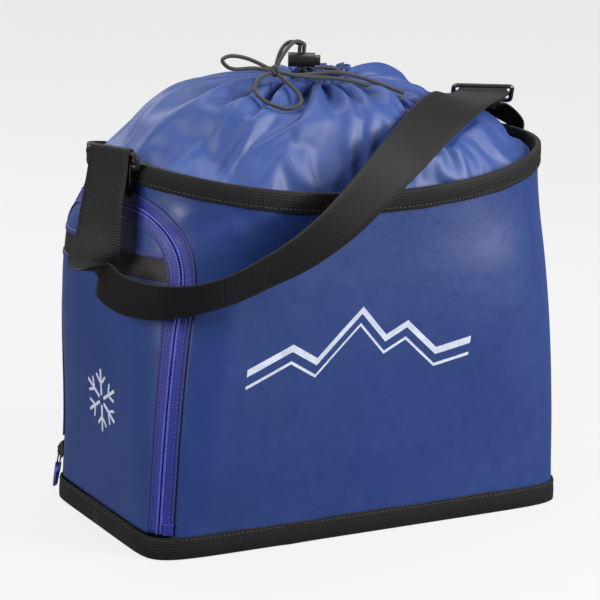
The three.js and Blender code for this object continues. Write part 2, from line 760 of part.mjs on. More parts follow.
// The strap: sewn back on itself below the ring, folded over, draped across the front, then up over
// the top to the adjuster, where it passes under the top bar and turns round the middle one.
const slideIn = slideOut.clone().negate();
const CROSS = Math.asin((2 * WRAP) / BAR_STEP) / Math.PI; // the band's slope between the two bars
const belowRing = (out, down) =>
  ringHigh.clone().addScaledVector(RING_OUT, out).addScaledVector(UP, -down).toArray();
const left = LEFT.toArray();
const tail = slideTop.clone().addScaledVector(slideIn, WRAP + 3);
add(
  "shoulder_strap",
  webbing(
    [
      [belowRing(1, 30), ringEdge.toArray()],
      [belowRing(1, 11), ringEdge.toArray()],
      [belowRing(-1.5, 6), ringEdge.toArray()],
      ...turn(ringHigh, RING_OUT.clone().negate(), UP, ringEdge),
      [[-245.5, -44.5, 358], ringEdge.toArray()],
      [[-252, -47, 328], [-0.42, 0.9, 0.05]],
      [[-257, -51, 302], [-0.45, 0.85, 0.25]],
      [[-264, -59, 275], [-0.38, 0.5, 0.77]],
      [[-256, -78, 257], [-0.3, 0.3, 0.9]],
      [[-247, -101, 252], [-0.4, -0.1, 0.9]],
      [[-238, -121, 252], [-0.4, -0.4, 0.82]],
      [[-225, -140, 254], [-0.35, -0.55, 0.76]],
      [[-204, -155, 258], [-0.35, -0.6, 0.72]],
      [[-175, -163, 266], [-0.5, -0.56, 0.66]],
      [[-138, -166, 281], [-0.6, -0.5, 0.62]],
      [[-100, -166, 298], [-0.65, -0.36, 0.66]],
      [[-60, -163, 323], [-0.72, -0.2, 0.66]],
      [[4, -145, 368], [-0.68, 0.1, 0.72]],
      [[68, -101, 394], [-0.56, 0.45, 0.7]],
      [[112, -68, 404], [-0.7, 0.52, 0.48]],
      [[148, -42, 405], [-0.84, 0.53, 0.08]],
      [slideBar(0).addScaledVector(slideIn, WRAP + 3).addScaledVector(FRONT, 9).toArray(), left],
      ...turn(slideBar(0), slideIn, slideDown, LEFT, 0, CROSS, 2),
      ...turn(slideBar(1), slideOut, slideDown, LEFT, -CROSS, 1, 7),
      [tail.toArray(), left],
      [[168, -26, 403], left],
    ],
    WEBBING.width - 2,
    WEBBING.thick,
  ),
  BLACK,
);

// Tabs: a loop round the hardware's bar, sewn to an anchor on the rim. The anchor holds the tab's foot.
const ANCHOR = { half: 18, low: 34, high: 20, thick: 1.8, left: 30 };
const endOff = BAND_GAP + BINDING + GAP;
function anchor(middle, low, high) {
  return plate(6, 2, (u, v, w) => {
    const s = middle + lerp(-ANCHOR.half, ANCHOR.half, u);
    return wall(s, topOf(s) - lerp(low, high, v), endOff + ANCHOR.thick * w);
  });
}
add("left_anchor", anchor(ANCHOR.left, ANCHOR.low, ANCHOR.high), BLACK);
add("right_anchor", anchor(halfPerimeter(HEIGHT), ANCHOR.low - 8, ANCHOR.high - 16), BLACK);

const END_X = RIM.a + endOff + ANCHOR.thick + 2 * GAP + WEBBING.thick / 2;
const END_Z = rimZ(RIM.a);
const TAB_WIDTH = 30;
const lowBar = slideBar(2);
const besideLow = (out, down) => [
  ringLow.clone().addScaledVector(RING_OUT, out).addScaledVector(UP, -down).toArray(),
  ringEdge.toArray(),
];
add(
  "left_tab",
  webbing(
    [
      [[-END_X - 0.4, -ANCHOR.left, END_Z - 29], [-0.03, 1, 0]],
      [[-END_X - 1, -ANCHOR.left - 3, END_Z - 19], [-0.1, 1, 0]],
      [[-END_X - 1.7, -ANCHOR.left - 6.5, END_Z - 12], [-0.3, 0.95, 0]],
      besideLow(-WRAP - 0.3, 3),
      ...turn(ringLow, RING_OUT.clone().negate(), UP, ringEdge),
      besideLow(WRAP + 0.2, 3),
      besideLow(WRAP, 10),
    ],
    TAB_WIDTH,
    WEBBING.thick,
  ),
  BLACK,
);
add(
  "right_tab",
  webbing(
    [
      [[END_X, 0, END_Z - 22], [0, 1, 0]],
      [[END_X, 0, END_Z - 8], [0, 1, 0]],
      [[END_X + 0.8, 1, END_Z + 4], [-0.08, 0.99, 0]],
      [[END_X - 12, 13, END_Z + 15], [-0.6, 0.8, 0]],
      [lowBar.clone().addScaledVector(slideDown, 11).addScaledVector(slideOut, WRAP).toArray(), left],
      ...turn(lowBar, slideOut, slideDown.clone().negate(), LEFT),
      [lowBar.clone().addScaledVector(slideDown, 10).addScaledVector(slideIn, WRAP).toArray(), left],
    ],
    TAB_WIDTH,
    WEBBING.thick,
  ),
  BLACK,
);

export default group;
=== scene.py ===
"""Looks of the ski boot bag: cloth, webbing, zip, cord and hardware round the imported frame.

Shapes are worked out in millimetres, in the frame of the part, and become metres in make().
"""

import json
import math

import bpy
import numpy as np
from mathutils import Matrix, Vector


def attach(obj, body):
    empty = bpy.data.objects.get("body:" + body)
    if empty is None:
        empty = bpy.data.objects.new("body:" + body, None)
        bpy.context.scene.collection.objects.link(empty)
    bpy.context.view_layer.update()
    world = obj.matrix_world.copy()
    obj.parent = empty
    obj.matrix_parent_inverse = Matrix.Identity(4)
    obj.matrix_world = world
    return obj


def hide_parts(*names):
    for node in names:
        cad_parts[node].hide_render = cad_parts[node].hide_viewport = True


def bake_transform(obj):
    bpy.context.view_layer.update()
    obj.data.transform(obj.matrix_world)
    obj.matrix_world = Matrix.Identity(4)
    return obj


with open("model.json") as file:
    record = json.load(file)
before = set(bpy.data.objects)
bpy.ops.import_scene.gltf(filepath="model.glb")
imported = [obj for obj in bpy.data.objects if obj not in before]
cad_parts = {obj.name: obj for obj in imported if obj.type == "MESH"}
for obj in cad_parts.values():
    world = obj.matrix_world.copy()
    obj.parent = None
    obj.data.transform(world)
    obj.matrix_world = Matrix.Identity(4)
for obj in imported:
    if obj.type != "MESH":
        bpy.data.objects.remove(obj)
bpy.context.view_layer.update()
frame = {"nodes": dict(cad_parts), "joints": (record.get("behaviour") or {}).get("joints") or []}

# ---- Driving dimensions, the same as the part's
HEIGHT, RIM_RISE = 340.0, 28.0
BASE = (230.0, 122.5, 11.0)
RIM = (224.0, 139.0, 2.9)
END_BULGE = 18.0
ZIP_S, ZIP_HALF = 113.0, 12.0
ARCH_TOP, ARCH_R, DOOR_FOOT = 324.0, 68.0, 25.0
VENT_LOW, VENT_HIGH = 258.0, 284.0
BASE_BAND, RIM_BAND = 22.0, 20.0
CLOTH_THICK = 2.0
SLIDER_Z = 46.0
PARK_GAP = 18.0  # the door's half of the zip starts this far above the parked slider
AXIS = np.array([0.876, -0.482, 0.0])
FRONT = np.array([-0.482, -0.876, 0.0])
UP = np.array([0.0, 0.0, 1.0])


def lerp(a, b, t):
    return a + (b - a) * t


def smooth(x, low, high):
    t = np.clip((np.asarray(x, float) - low) / (high - low), 0, 1)
    return t * t * (3 - 2 * t)


def unit(v):
    v = np.asarray(v, float)
    return v / np.maximum(np.linalg.norm(v, axis=-1, keepdims=True), 1e-12)


def distances(path):
    """How far along the path each of its points is."""
    return np.concatenate([[0], np.cumsum(np.linalg.norm(np.diff(path, axis=0), axis=1))])


# ---- The bag's wall: a superellipse that changes from the square foot to the rounder rim
SHARES, FRACTIONS = 121, 1601


def section_table():
    """Even steps along half of each cross-section, for even steps of height."""
    places, halves = [], []
    angle = np.linspace(0, math.pi, 1441)
    c, s = np.cos(angle), np.sin(angle)
    for t in np.linspace(0, 1, SHARES):
        a = lerp(BASE[0], RIM[0], t)
        b = lerp(BASE[1], RIM[1], t**1.3)
        n = RIM[2] + (BASE[2] - RIM[2]) * (1 - t) ** 1.5
        x = -a * np.sign(c) * np.abs(c) ** (2 / n)
        y = -b * np.abs(s) ** (2 / n)
        d = np.concatenate([[0], np.cumsum(np.hypot(np.diff(x), np.diff(y)))])
        even = np.linspace(0, d[-1], FRACTIONS)
        places.append(np.stack([np.interp(even, d, x), np.interp(even, d, y)], -1))
        halves.append(d[-1])
    return np.array(places), np.array(halves)


PLACES, HALVES = section_table()


def half_perimeter(z):
    t = np.clip(np.asarray(z, float) / HEIGHT, 0, 1)
    return np.interp(t, np.linspace(0, 1, SHARES), HALVES)


def wrapped(s, z):
    """The same place as a distance of at most half the way round, negative along the back."""
    total = half_perimeter(z)
    return np.mod(s + total, 2 * total) - total


def bare_wall(s, z):
    """Point of the wall at distance s from the middle of the left end, positive towards the front."""
    s, z = np.broadcast_arrays(np.asarray(s, float), np.asarray(z, float))
    total = half_perimeter(z)
    s = wrapped(s, z)
    back = s < 0
    d = np.abs(s)
    t = np.clip(z / HEIGHT, 0, 1) * (SHARES - 1)
    i = np.minimum(t.astype(int), SHARES - 2)
    f = np.clip(d / total, 0, 1) * (FRACTIONS - 1)
    j = np.minimum(f.astype(int), FRACTIONS - 2)
    ti, fj = (t - i)[..., None], (f - j)[..., None]
    low = lerp(PLACES[i, j], PLACES[i, j + 1], fj)
    high = lerp(PLACES[i + 1, j], PLACES[i + 1, j + 1], fj)
    xy = lerp(low, high, ti)
    along = (1 - smooth(s, -60, 100)) * smooth(s, -330, -150)
    up = smooth(z, 60, 280) * (1 - smooth(z, 282, 338))
    x = xy[..., 0] - END_BULGE * along * up
    y = np.where(back, -xy[..., 1], xy[..., 1])
    return np.stack([x, y, z], -1)


def soft(s, z):
    """Slow unevenness of the filled cloth, in mm outwards.

    It is gone at the rim, the foot and the zip's legs, and about 1 mm beside the zip's arch.
    """
    s, z = np.broadcast_arrays(np.asarray(s, float), np.asarray(z, float))
    s = wrapped(s, z)
    angle = math.pi * s / half_perimeter(z)
    fade = smooth(z, 22, 90) * (1 - smooth(z, 250, 322))
    fade = fade * smooth(np.abs(s), 128, 190) + 0.35 * fade * (1 - smooth(np.abs(s), 60, 98))
    wave = 1.5 * np.sin(2 * angle + 0.6) * np.sin(z / 61 + 0.4) + 0.9 * np.sin(5 * angle - z / 77)
    crown = 2.2 * np.sin(np.clip(z / 300, 0, 1) * math.pi)
    beside_zip = 1.6 * np.exp(-(((s - 152 - 0.04 * z) / 13) ** 2))
    beside_zip = beside_zip * smooth(z, 30, 90) * (1 - smooth(z, 270, 322))
    header = 0.7 * np.sin(s / 6.5 + z / 11) + 0.5 * np.sin(s / 11 - z / 7)
    near_arch = smooth(z, 296, 312) * (1 - smooth(z, 322, 334)) * smooth(np.abs(s), 72, 96)
    near_arch = near_arch * (1 - smooth(np.abs(s), 150, 220))
    return fade * (wave + crown) + beside_zip + header * near_arch


def out_of(s, z):
    along = bare_wall(np.asarray(s) + 2.0, z) - bare_wall(np.asarray(s) - 2.0, z)
    return unit(np.stack([along[..., 1], -along[..., 0], np.zeros_like(along[..., 0])], -1))


def wall(s, z, off=0.0):
    s, z, off = np.broadcast_arrays(*(np.asarray(q, float) for q in (s, z, off)))
    return bare_wall(s, z) + out_of(s, z) * (off + soft(s, z))[..., None]


def rim_top(s):
    x = bare_wall(s, HEIGHT)[..., 0]
    return HEIGHT + RIM_RISE * (x / RIM[0]) ** 2


# ---- Meshes
def linked(name, data):
    """A new object in the scene."""
    obj = bpy.data.objects.new(name, data)
    bpy.context.scene.collection.objects.link(obj)
    return obj


def stands_for(piece, slot, *nodes):
    """Hides the CAD nodes that the piece replaces; the piece and the slot are not used."""
    if nodes:
        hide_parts(*nodes)


def make(name, verts, faces, material, body=None, smooth_shading=True, uv=None):
    """A mesh piece from millimetres, with its material."""
    mesh = bpy.data.meshes.new(name)
    mesh.from_pydata((np.asarray(verts, float) / 1000).tolist(), [], faces)
    mesh.validate()
    if uv is not None:
        layer = mesh.uv_layers.new(name="UVMap")
        corner = np.empty(len(mesh.loops), int)
        mesh.loops.foreach_get("vertex_index", corner)
        layer.data.foreach_set("uv", (np.asarray(uv, float)[corner] / 1000).ravel())
    if smooth_shading:
        mesh.shade_smooth()
    mesh.materials.append(material)
    obj = linked(name, mesh)
    if body:
        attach(obj, body)
    return obj


def loft_data(rings, loop=False, uv=None):
    """Vertices and faces of a closed solid through rings of points, (n, m, 3), with fans at its ends."""
    rings = np.asarray(rings, float)
    n, m, _ = rings.shape
    verts = rings.reshape(-1, 3).tolist()
    faces = []
    for i in range(n if loop else n - 1):
        a, b = i * m, ((i + 1) % n) * m
        for j in range(m):
            k = (j + 1) % m
            faces.append((a + j, a + k, b + k, b + j))
    if uv is None:
        girth = np.linalg.norm(np.diff(rings, axis=1, append=rings[:, :1]), axis=-1)
        across = np.concatenate([np.zeros((n, 1)), np.cumsum(girth, 1)[:, :-1]], 1)
        along = distances(rings.mean(1))
        uv = np.stack([across, np.repeat(along[:, None], m, 1)], -1)
    uv = np.asarray(uv, float).reshape(-1, 2).tolist()
    if not loop:
        for i, flip in ((0, True), (n - 1, False)):
            c = len(verts)
            verts.append(rings[i].mean(0).tolist())
            uv.append(uv[i * m])
            for j in range(m):
                k = (j + 1) % m
                face = (i * m + j, i * m + k, c)
                faces.append(face[::-1] if flip else face)
    return verts, faces, uv


def turned_out(verts, faces):
    """The faces, reversed if they face into the solid."""
    v = np.asarray(verts, float)
    volume = 0.0
    for f in faces:
        for k in range(1, len(f) - 1):
            volume += np.dot(v[f[0]], np.cross(v[f[k]], v[f[k + 1]]))
    return [f[::-1] for f in faces] if volume < 0 else faces


def loft(name, rings, material, body=None, loop=False, uv=None):
    verts, faces, uvs = loft_data(rings, loop, uv)
    return make(name, verts, turned_out(verts, faces), material, body, True, uvs)


def joined(name, parts, material, body=None):
    """One piece from several closed solids."""
    verts, faces, uvs = [], [], []
    for v, f, u in parts:
        base = len(verts)
        verts += list(v)
        faces += [tuple(i + base for i in face) for face in turned_out(v, f)]
        uvs += list(u)
    return make(name, verts, faces, material, body, True, uvs)


def spline(points, per=10, loop=False):
    """A smooth curve through points, (n, d), with a number of steps between each two."""
    p = np.asarray(points, float)
    n = len(p)
    out = []
    count = n if loop else n - 1
    for i in range(count):
        if loop:
            a, b, c, d = (p[(i + k) % n] for k in (-1, 0, 1, 2))
        else:
            b, c = p[i], p[i + 1]
            a = p[i - 1] if i else 2 * b - c
            d = p[i + 2] if i + 2 < n else 2 * c - b
        chord = max(np.linalg.norm((c - b)[:3]), 1e-6)
        m0 = (c - a) / max(np.linalg.norm((c - a)[:3]), 1e-6) * chord
        m1 = (d - b) / max(np.linalg.norm((d - b)[:3]), 1e-6) * chord
        for k in range(per):
            t = k / per
            h = (2 * t**3 - 3 * t**2 + 1, t**3 - 2 * t**2 + t, 3 * t**2 - 2 * t**3, t**3 - t**2)
            out.append(h[0] * b + h[1] * m0 + h[2] * c + h[3] * m1)
    if not loop:
        out.append(p[-1])
    return np.array(out)


def tangents(path, loop=False):
    if loop:
        return unit(np.roll(path, -1, 0) - np.roll(path, 1, 0))
    return unit(np.gradient(path, axis=0))


def carried_frame(path, loop=False):
    """Two directions square to the path that turn as little as possible."""
    t = tangents(path, loop)
    x = np.zeros_like(t)
    start = np.cross(t[0], [0.3, 0.2, 1.0])
    x[0] = start / np.linalg.norm(start)
    for i in range(1, len(t)):
        v = x[i - 1] - t[i] * np.dot(x[i - 1], t[i])
        x[i] = v / np.linalg.norm(v)
    return x, np.cross(t, x)


def tube_data(path, radius, sides=10, loop=False):
    path = np.asarray(path, float)
    x, y = carried_frame(path, loop)
    if loop:  # spread the closing twist round the loop
        gap = math.atan2(np.dot(np.cross(x[-1], x[0]), tangents(path, True)[0]), np.dot(x[-1], x[0]))
        turn = np.linspace(0, gap, len(path))[:, None]
        x, y = x * np.cos(turn) + y * np.sin(turn), y * np.cos(turn) - x * np.sin(turn)
    a = np.linspace(0, 2 * math.pi, sides, endpoint=False)
    r = np.broadcast_to(np.asarray(radius, float), (len(path),))[:, None, None]
    rings = path[:, None] + r * (
        np.cos(a)[None, :, None] * x[:, None] + np.sin(a)[None, :, None] * y[:, None]
    )
    length = distances(path)
    uv = np.stack(np.broadcast_arrays((a * 4)[None], length[:, None]), -1)
    return loft_data(rings, loop, uv)


def band_profile(width, thick, arc=4):
    """Cross-section of webbing: flat, with round edges."""
    r, h = thick / 2, width / 2 - thick / 2
    a = np.linspace(-math.pi / 2, math.pi / 2, arc + 1)
    right = np.stack([h + r * np.cos(a), r * np.sin(a)], -1)
    flat = np.linspace(0.75, -0.75, 4)[:, None] * [h, 0]
    top = flat + [0, r]
    bottom = -flat - [0, r]
    return np.concatenate([right, top, -right, bottom])


def ribbon_data(path, across, width, thick, camber=0.0):
    """Webbing along a path whose width runs along the given directions."""
    path = np.asarray(path, float)
    t = tangents(path)
    x = unit(across - t * np.sum(across * t, -1, keepdims=True))
    y = np.cross(t, x)
    profile = band_profile(width, thick)
    bow = camber * (1 - (2 * profile[:, 0] / width) ** 2)
    px, py = profile[:, 0], profile[:, 1] + bow
    rings = path[:, None] + px[None, :, None] * x[:, None] + py[None, :, None] * y[:, None]
    length = distances(path)
    uv = np.stack(np.broadcast_arrays((px + width / 2)[None], length[:, None]), -1)
    return loft_data(rings, False, uv)


def stitches(path, normal, length=3.2, gap=1.6, width=0.55, proud=0.35):
    """A row of stitches lying on a surface along a path, as small tapered solids."""
    path = np.asarray(path, float)
    d = distances(path)
    parts = []
    for start in np.arange(gap, d[-1] - length, length + gap):
        rings = []
        for f, k in ((0, 0.35), (0.25, 1), (0.75, 1), (1, 0.35)):
            at = start + f * length
            p = np.array([np.interp(at, d, path[:, i]) for i in range(3)])
            n = unit([np.interp(at, d, normal[:, i]) for i in range(3)])
            q = np.array([np.interp(min(at + 1, d[-1]), d, path[:, i]) for i in range(3)])
            side = np.cross(n, unit(q - p))
            w, h = width * k, proud * k
            foot, crown = p - n * 0.1, p + n * h
            half = side * w
            rings.append([foot - half, foot + half, crown + half * 0.6, crown - half * 0.6])
        parts.append(loft_data(rings))
    return parts


def slab_grid(outer, thick, normal, closed_u=False):
    """Vertices and faces of a sheet with thickness over a grid of points, (nu, nv, 3)."""
    nu, nv, _ = outer.shape
    inner = outer - normal * thick
    verts = np.concatenate([outer.reshape(-1, 3), inner.reshape(-1, 3)])
    n = nu * nv
    faces = []

    def at(i, j, side=0):
        return side * n + (i % nu) * nv + j

    for i in range(nu if closed_u else nu - 1):
        for j in range(nv - 1):
            faces.append((at(i, j), at(i + 1, j), at(i + 1, j + 1), at(i, j + 1)))
            faces.append((at(i, j + 1, 1), at(i + 1, j + 1, 1), at(i + 1, j, 1), at(i, j, 1)))
        for j, flip in ((0, False), (nv - 1, True)):
            f = (at(i, j), at(i, j, 1), at(i + 1, j, 1), at(i + 1, j))
            faces.append(f[::-1] if flip else f)
    if not closed_u:
        for j in range(nv - 1):
            faces.append((at(0, j), at(0, j + 1), at(0, j + 1, 1), at(0, j, 1)))
            faces.append((at(nu - 1, j, 1), at(nu - 1, j + 1, 1), at(nu - 1, j + 1), at(nu - 1, j)))
    return verts, faces


def grid_normals(p, closed_u=False):
    du = np.roll(p, -1, 0) - np.roll(p, 1, 0) if closed_u else np.gradient(p, axis=0)
    dv = np.gradient(p, axis=1)
    return unit(np.cross(du, dv))


def grid_uv(s, z):
    """Texture places for both sides of a sheet."""
    return np.tile(np.stack([s, z], -1).reshape(-1, 2), (2, 1))


def wall_sheet(name, s, z, off, thick, material, body, slot, node_name):
    """Cloth over a grid of places on the wall, its outside off millimetres from the wall."""
    verts, faces = slab_grid(wall(s, z, off), thick, out_of(s, z))
    piece = make(name, verts, turned_out(verts, faces), material, body, True, grid_uv(s, z))
    stands_for(piece, slot, node_name)


# ---- Materials
def tree_of(name):
    m = bpy.data.materials.new(name)
    m.use_nodes = True
    t = m.node_tree
    return m, t, t.nodes["Principled BSDF"]


def math_node(t, op, a, b=None):
    n = t.nodes.new("ShaderNodeMath")
    n.operation = op
    for i, v in enumerate((a, b)):
        if v is None:
            continue
        if isinstance(v, (int, float)):
            n.inputs[i].default_value = v
        else:
            t.links.new(v, n.inputs[i])
    return n.outputs[0]


def scaled(t, value, by, plus):
    """value * by + plus."""
    return math_node(t, "ADD", math_node(t, "MULTIPLY", value, by), plus)


def set_inputs(node, values):
    for name, value in values.items():
        node.inputs[name].default_value = value


def ramp(t, value, low, high, a, b):
    """Colour a below low, b above high."""
    n = t.nodes.new("ShaderNodeValToRGB")
    e = n.color_ramp.elements
    e[0].position, e[1].position = low, high
    e[0].color, e[1].color = (*a, 1), (*b, 1)
    t.links.new(value, n.inputs[0])
    return n.outputs[0]


def noise_node(t, scale, detail=3.0, rough=0.55):
    n = t.nodes.new("ShaderNodeTexNoise")
    n.inputs["Scale"].default_value = scale
    n.inputs["Detail"].default_value = detail
    n.inputs["Roughness"].default_value = rough
    t.links.new(t.nodes.new("ShaderNodeTexCoord").outputs["Object"], n.inputs["Vector"])
    return n.outputs["Fac"]


def bump_chain(t, bsdf, *layers):
    """Bumps one over another: (height, strength, distance)."""
    last = None
    for height, strength, distance in layers:
        b = t.nodes.new("ShaderNodeBump")
        b.inputs["Strength"].default_value = strength
        b.inputs["Distance"].default_value = distance
        t.links.new(height, b.inputs["Height"])
        if last is not None:
            t.links.new(last, b.inputs["Normal"])
        last = b.outputs["Normal"]
    t.links.new(last, bsdf.inputs["Normal"])


def split_uv(t):
    uv = t.nodes.new("ShaderNodeUVMap")
    uv.uv_map = "UVMap"
    sep = t.nodes.new("ShaderNodeSeparateXYZ")
    t.links.new(uv.outputs["UV"], sep.inputs[0])
    return sep.outputs["X"], sep.outputs["Y"]


def threads(t, value, pitch):
    """A rounded wave, 0 to 1, once every pitch metres."""
    s = math_node(t, "SINE", math_node(t, "MULTIPLY", value, 2 * math.pi / pitch))
    return scaled(t, s, 0.5, 0.5)


def coated_cloth(name, light, dark, rough=0.42, weave=0.0011, crease=0.2, sheen=0.03):
    """Thin woven cloth with a satin coating: fine plain weave, slow tone changes and small creases."""
    m, t, b = tree_of(name)
    u, v = split_uv(t)
    plain = math_node(t, "MULTIPLY", threads(t, u, weave), threads(t, v, weave))
    slow = noise_node(t, 9, 3)
    fine = noise_node(t, 70, 5, 0.65)
    tone = scaled(t, slow, 0.7, math_node(t, "MULTIPLY", fine, 0.3))
    t.links.new(ramp(t, tone, 0.3, 0.7, dark, light), b.inputs["Base Color"])
    t.links.new(scaled(t, fine, 0.16, rough - 0.08), b.inputs["Roughness"])
    set_inputs(b, {
        "Sheen Weight": sheen,
        "Sheen Roughness": 0.35,
        "Sheen Tint": (0.75, 0.82, 1, 1),
        "Coat Weight": 0.06,
        "Coat Roughness": 0.35,
        "Specular IOR Level": 0.5,
    })
    creases = noise_node(t, 22, 4, 0.5)
    bump_chain(t, b, (creases, crease, 0.004), (fine, 0.1, 0.0012), (plain, 0.22, 0.0002))
    return m


def ribbed(name, colour, edge, width, pitch=0.0022, rough=0.62):
    """Woven webbing or grosgrain: cross ribs along its length, loose fibres, painted shade in the grooves
    between the ribs and a painted highlight, a paler band, along each edge.
    """
    m, t, b = tree_of(name)
    u, v = split_uv(t)
    ribs = threads(t, v, pitch)
    cords = threads(t, u, pitch * 1.4)
    fuzz = noise_node(t, 420, 3, 0.7)
    wear = noise_node(t, 24, 4, 0.6)
    height = scaled(t, ribs, 0.7, math_node(t, "MULTIPLY", cords, 0.5))
    # Painted highlight: a band along each edge is mixed towards the paler edge colour.
    distance = math_node(t, "ABSOLUTE", math_node(t, "SUBTRACT", u, width / 2))
    painted_edge_highlight = math_node(t, "GREATER_THAN", distance, width / 2 - 0.0022)
    # Painted shade: the grooves between the ribs are darker than their crests; the random wear adds real tone
    # on top.
    painted_rib_shade_and_wear = scaled(t, height, 0.3, math_node(t, "MULTIPLY", wear, 0.5))
    base = ramp(t, painted_rib_shade_and_wear, 0.2, 0.85, colour, tuple(c * 1.5 + 0.002 for c in colour))
    mix = t.nodes.new("ShaderNodeMix")
    mix.data_type = "RGBA"
    t.links.new(math_node(t, "MULTIPLY", painted_edge_highlight, 0.55), mix.inputs[0])
    t.links.new(base, mix.inputs[6])
    mix.inputs[7].default_value = (*edge, 1)
    t.links.new(mix.outputs[2], b.inputs["Base Color"])
    set_inputs(b, {
        "Roughness": rough,
        "Specular IOR Level": 0.2,
        "Sheen Weight": 0.04,
        "Sheen Roughness": 0.4,
    })
    bump_chain(t, b, (wear, 0.12, 0.002), (height, 0.55, 0.0005), (fuzz, 0.15, 0.0003))
    return m


def moulded(name, colour, rough=0.35, grain=0.12):
    """Moulded plastic with a fine spark-eroded grain and scuffed high spots."""
    m, t, b = tree_of(name)
    grainy = noise_node(t, 900, 2, 0.6)
    scuff = noise_node(t, 60, 5, 0.7)
    scuffed = tuple(c * 1.5 + 0.006 for c in colour)
    t.links.new(ramp(t, scuff, 0.35, 0.75, colour, scuffed), b.inputs["Base Color"])
    t.links.new(scaled(t, scuff, 0.2, rough - 0.1), b.inputs["Roughness"])
    bump_chain(t, b, (grainy, grain, 0.0003), (scuff, 0.05, 0.0008))
    return m


def braided(name, colour):
    """Braided cord: two sets of strands winding opposite ways, with painted shade in the grooves between
    them.
    """
    m, t, b = tree_of(name)
    u, v = split_uv(t)
    right = threads(t, math_node(t, "ADD", v, math_node(t, "MULTIPLY", u, 0.25)), 0.0026)
    left = threads(t, math_node(t, "SUBTRACT", v, math_node(t, "MULTIPLY", u, 0.25)), 0.0026)
    height = math_node(t, "MAXIMUM", right, left)
    # Painted shade: the grooves between the strands are darker, down to half the cord's colour.
    t.links.new(ramp(t, height, 0.35, 0.95, tuple(c * 0.5 for c in colour), colour), b.inputs["Base Color"])
    set_inputs(b, {"Roughness": 0.6, "Sheen Weight": 0.15})
    bump_chain(t, b, (height, 0.7, 0.0006), (noise_node(t, 500, 2), 0.15, 0.0003))
    return m


def plated(name, colour, rough=0.3):
    """Dark plated metal, brushed by handling and worn at its edges."""
    m, t, b = tree_of(name)
    worn = noise_node(t, 220, 5, 0.7)
    bare = tuple(min(1, c * 2.2) for c in colour)
    t.links.new(ramp(t, worn, 0.4, 0.8, colour, bare), b.inputs["Base Color"])
    b.inputs["Metallic"].default_value = 1
    t.links.new(scaled(t, worn, 0.25, rough - 0.1), b.inputs["Roughness"])
    bump_chain(t, b, (worn, 0.12, 0.0003))
    return m


CLOTH = coated_cloth("bag_cloth", (0.0125, 0.037, 0.163), (0.0095, 0.029, 0.135), 0.40)
TOP_CLOTH = coated_cloth("top_cloth", (0.020, 0.052, 0.210), (0.014, 0.040, 0.172), 0.54, 0.0009, 0.3)
KNIT = (0.009, 0.016, 0.20), (0.007, 0.013, 0.165)
ZIP_CLOTH = coated_cloth("zip_tape_knit", *KNIT, 0.55, 0.0016, 0.08, 0.06)
PIPING = coated_cloth("zip_edge", (0.016, 0.022, 0.13), (0.012, 0.016, 0.10), 0.6, 0.0012, 0.05, 0.1)
COIL = moulded("coil_nylon", (0.035, 0.05, 0.30), 0.4, 0.05)
# The second colour of each tape is its painted edge highlight.
BINDING = ribbed("binding_tape", (0.0050, 0.0048, 0.0050), (0.008, 0.008, 0.0082), 10.0, 0.0019, 0.6)
WEBBING = ribbed("webbing", (0.0045, 0.0044, 0.0047), (0.010, 0.010, 0.0105), 0.048, 0.0023, 0.58)
BOARD = moulded("stiffener", (0.03, 0.03, 0.032), 0.6, 0.3)
PLASTIC = moulded("buckle_plastic", (0.009, 0.009, 0.0095), 0.34)
CORD = braided("cord_braid", (0.012, 0.0115, 0.0115))
METAL = plated("dark_plate", (0.09, 0.085, 0.08))
THREAD = moulded("thread_blue", (0.018, 0.028, 0.2), 0.5, 0.2)
BLACK_THREAD = moulded("thread_black", (0.014, 0.014, 0.016), 0.55, 0.2)
NET = moulded("vent_net", (0.010, 0.010, 0.011), 0.6, 0.3)
PRINT = moulded("grey_print", (0.42, 0.45, 0.54), 0.5, 0.15)

# ---- Walls: one continuous cloth with an arched opening for the door
HEADER_OUT = ZIP_HALF + 0.5
ARCH_Z = ARCH_TOP - ARCH_R
FLAT = ZIP_S - ARCH_R


def arch_edge(s, reach):
    """Height of a line that runs parallel to the zip's arch, reach outside its middle."""
    over = np.clip(np.abs(s) - FLAT, 0, ARCH_R + reach)
    return ARCH_Z + np.sqrt(np.maximum((ARCH_R + reach) ** 2 - over**2, 0))


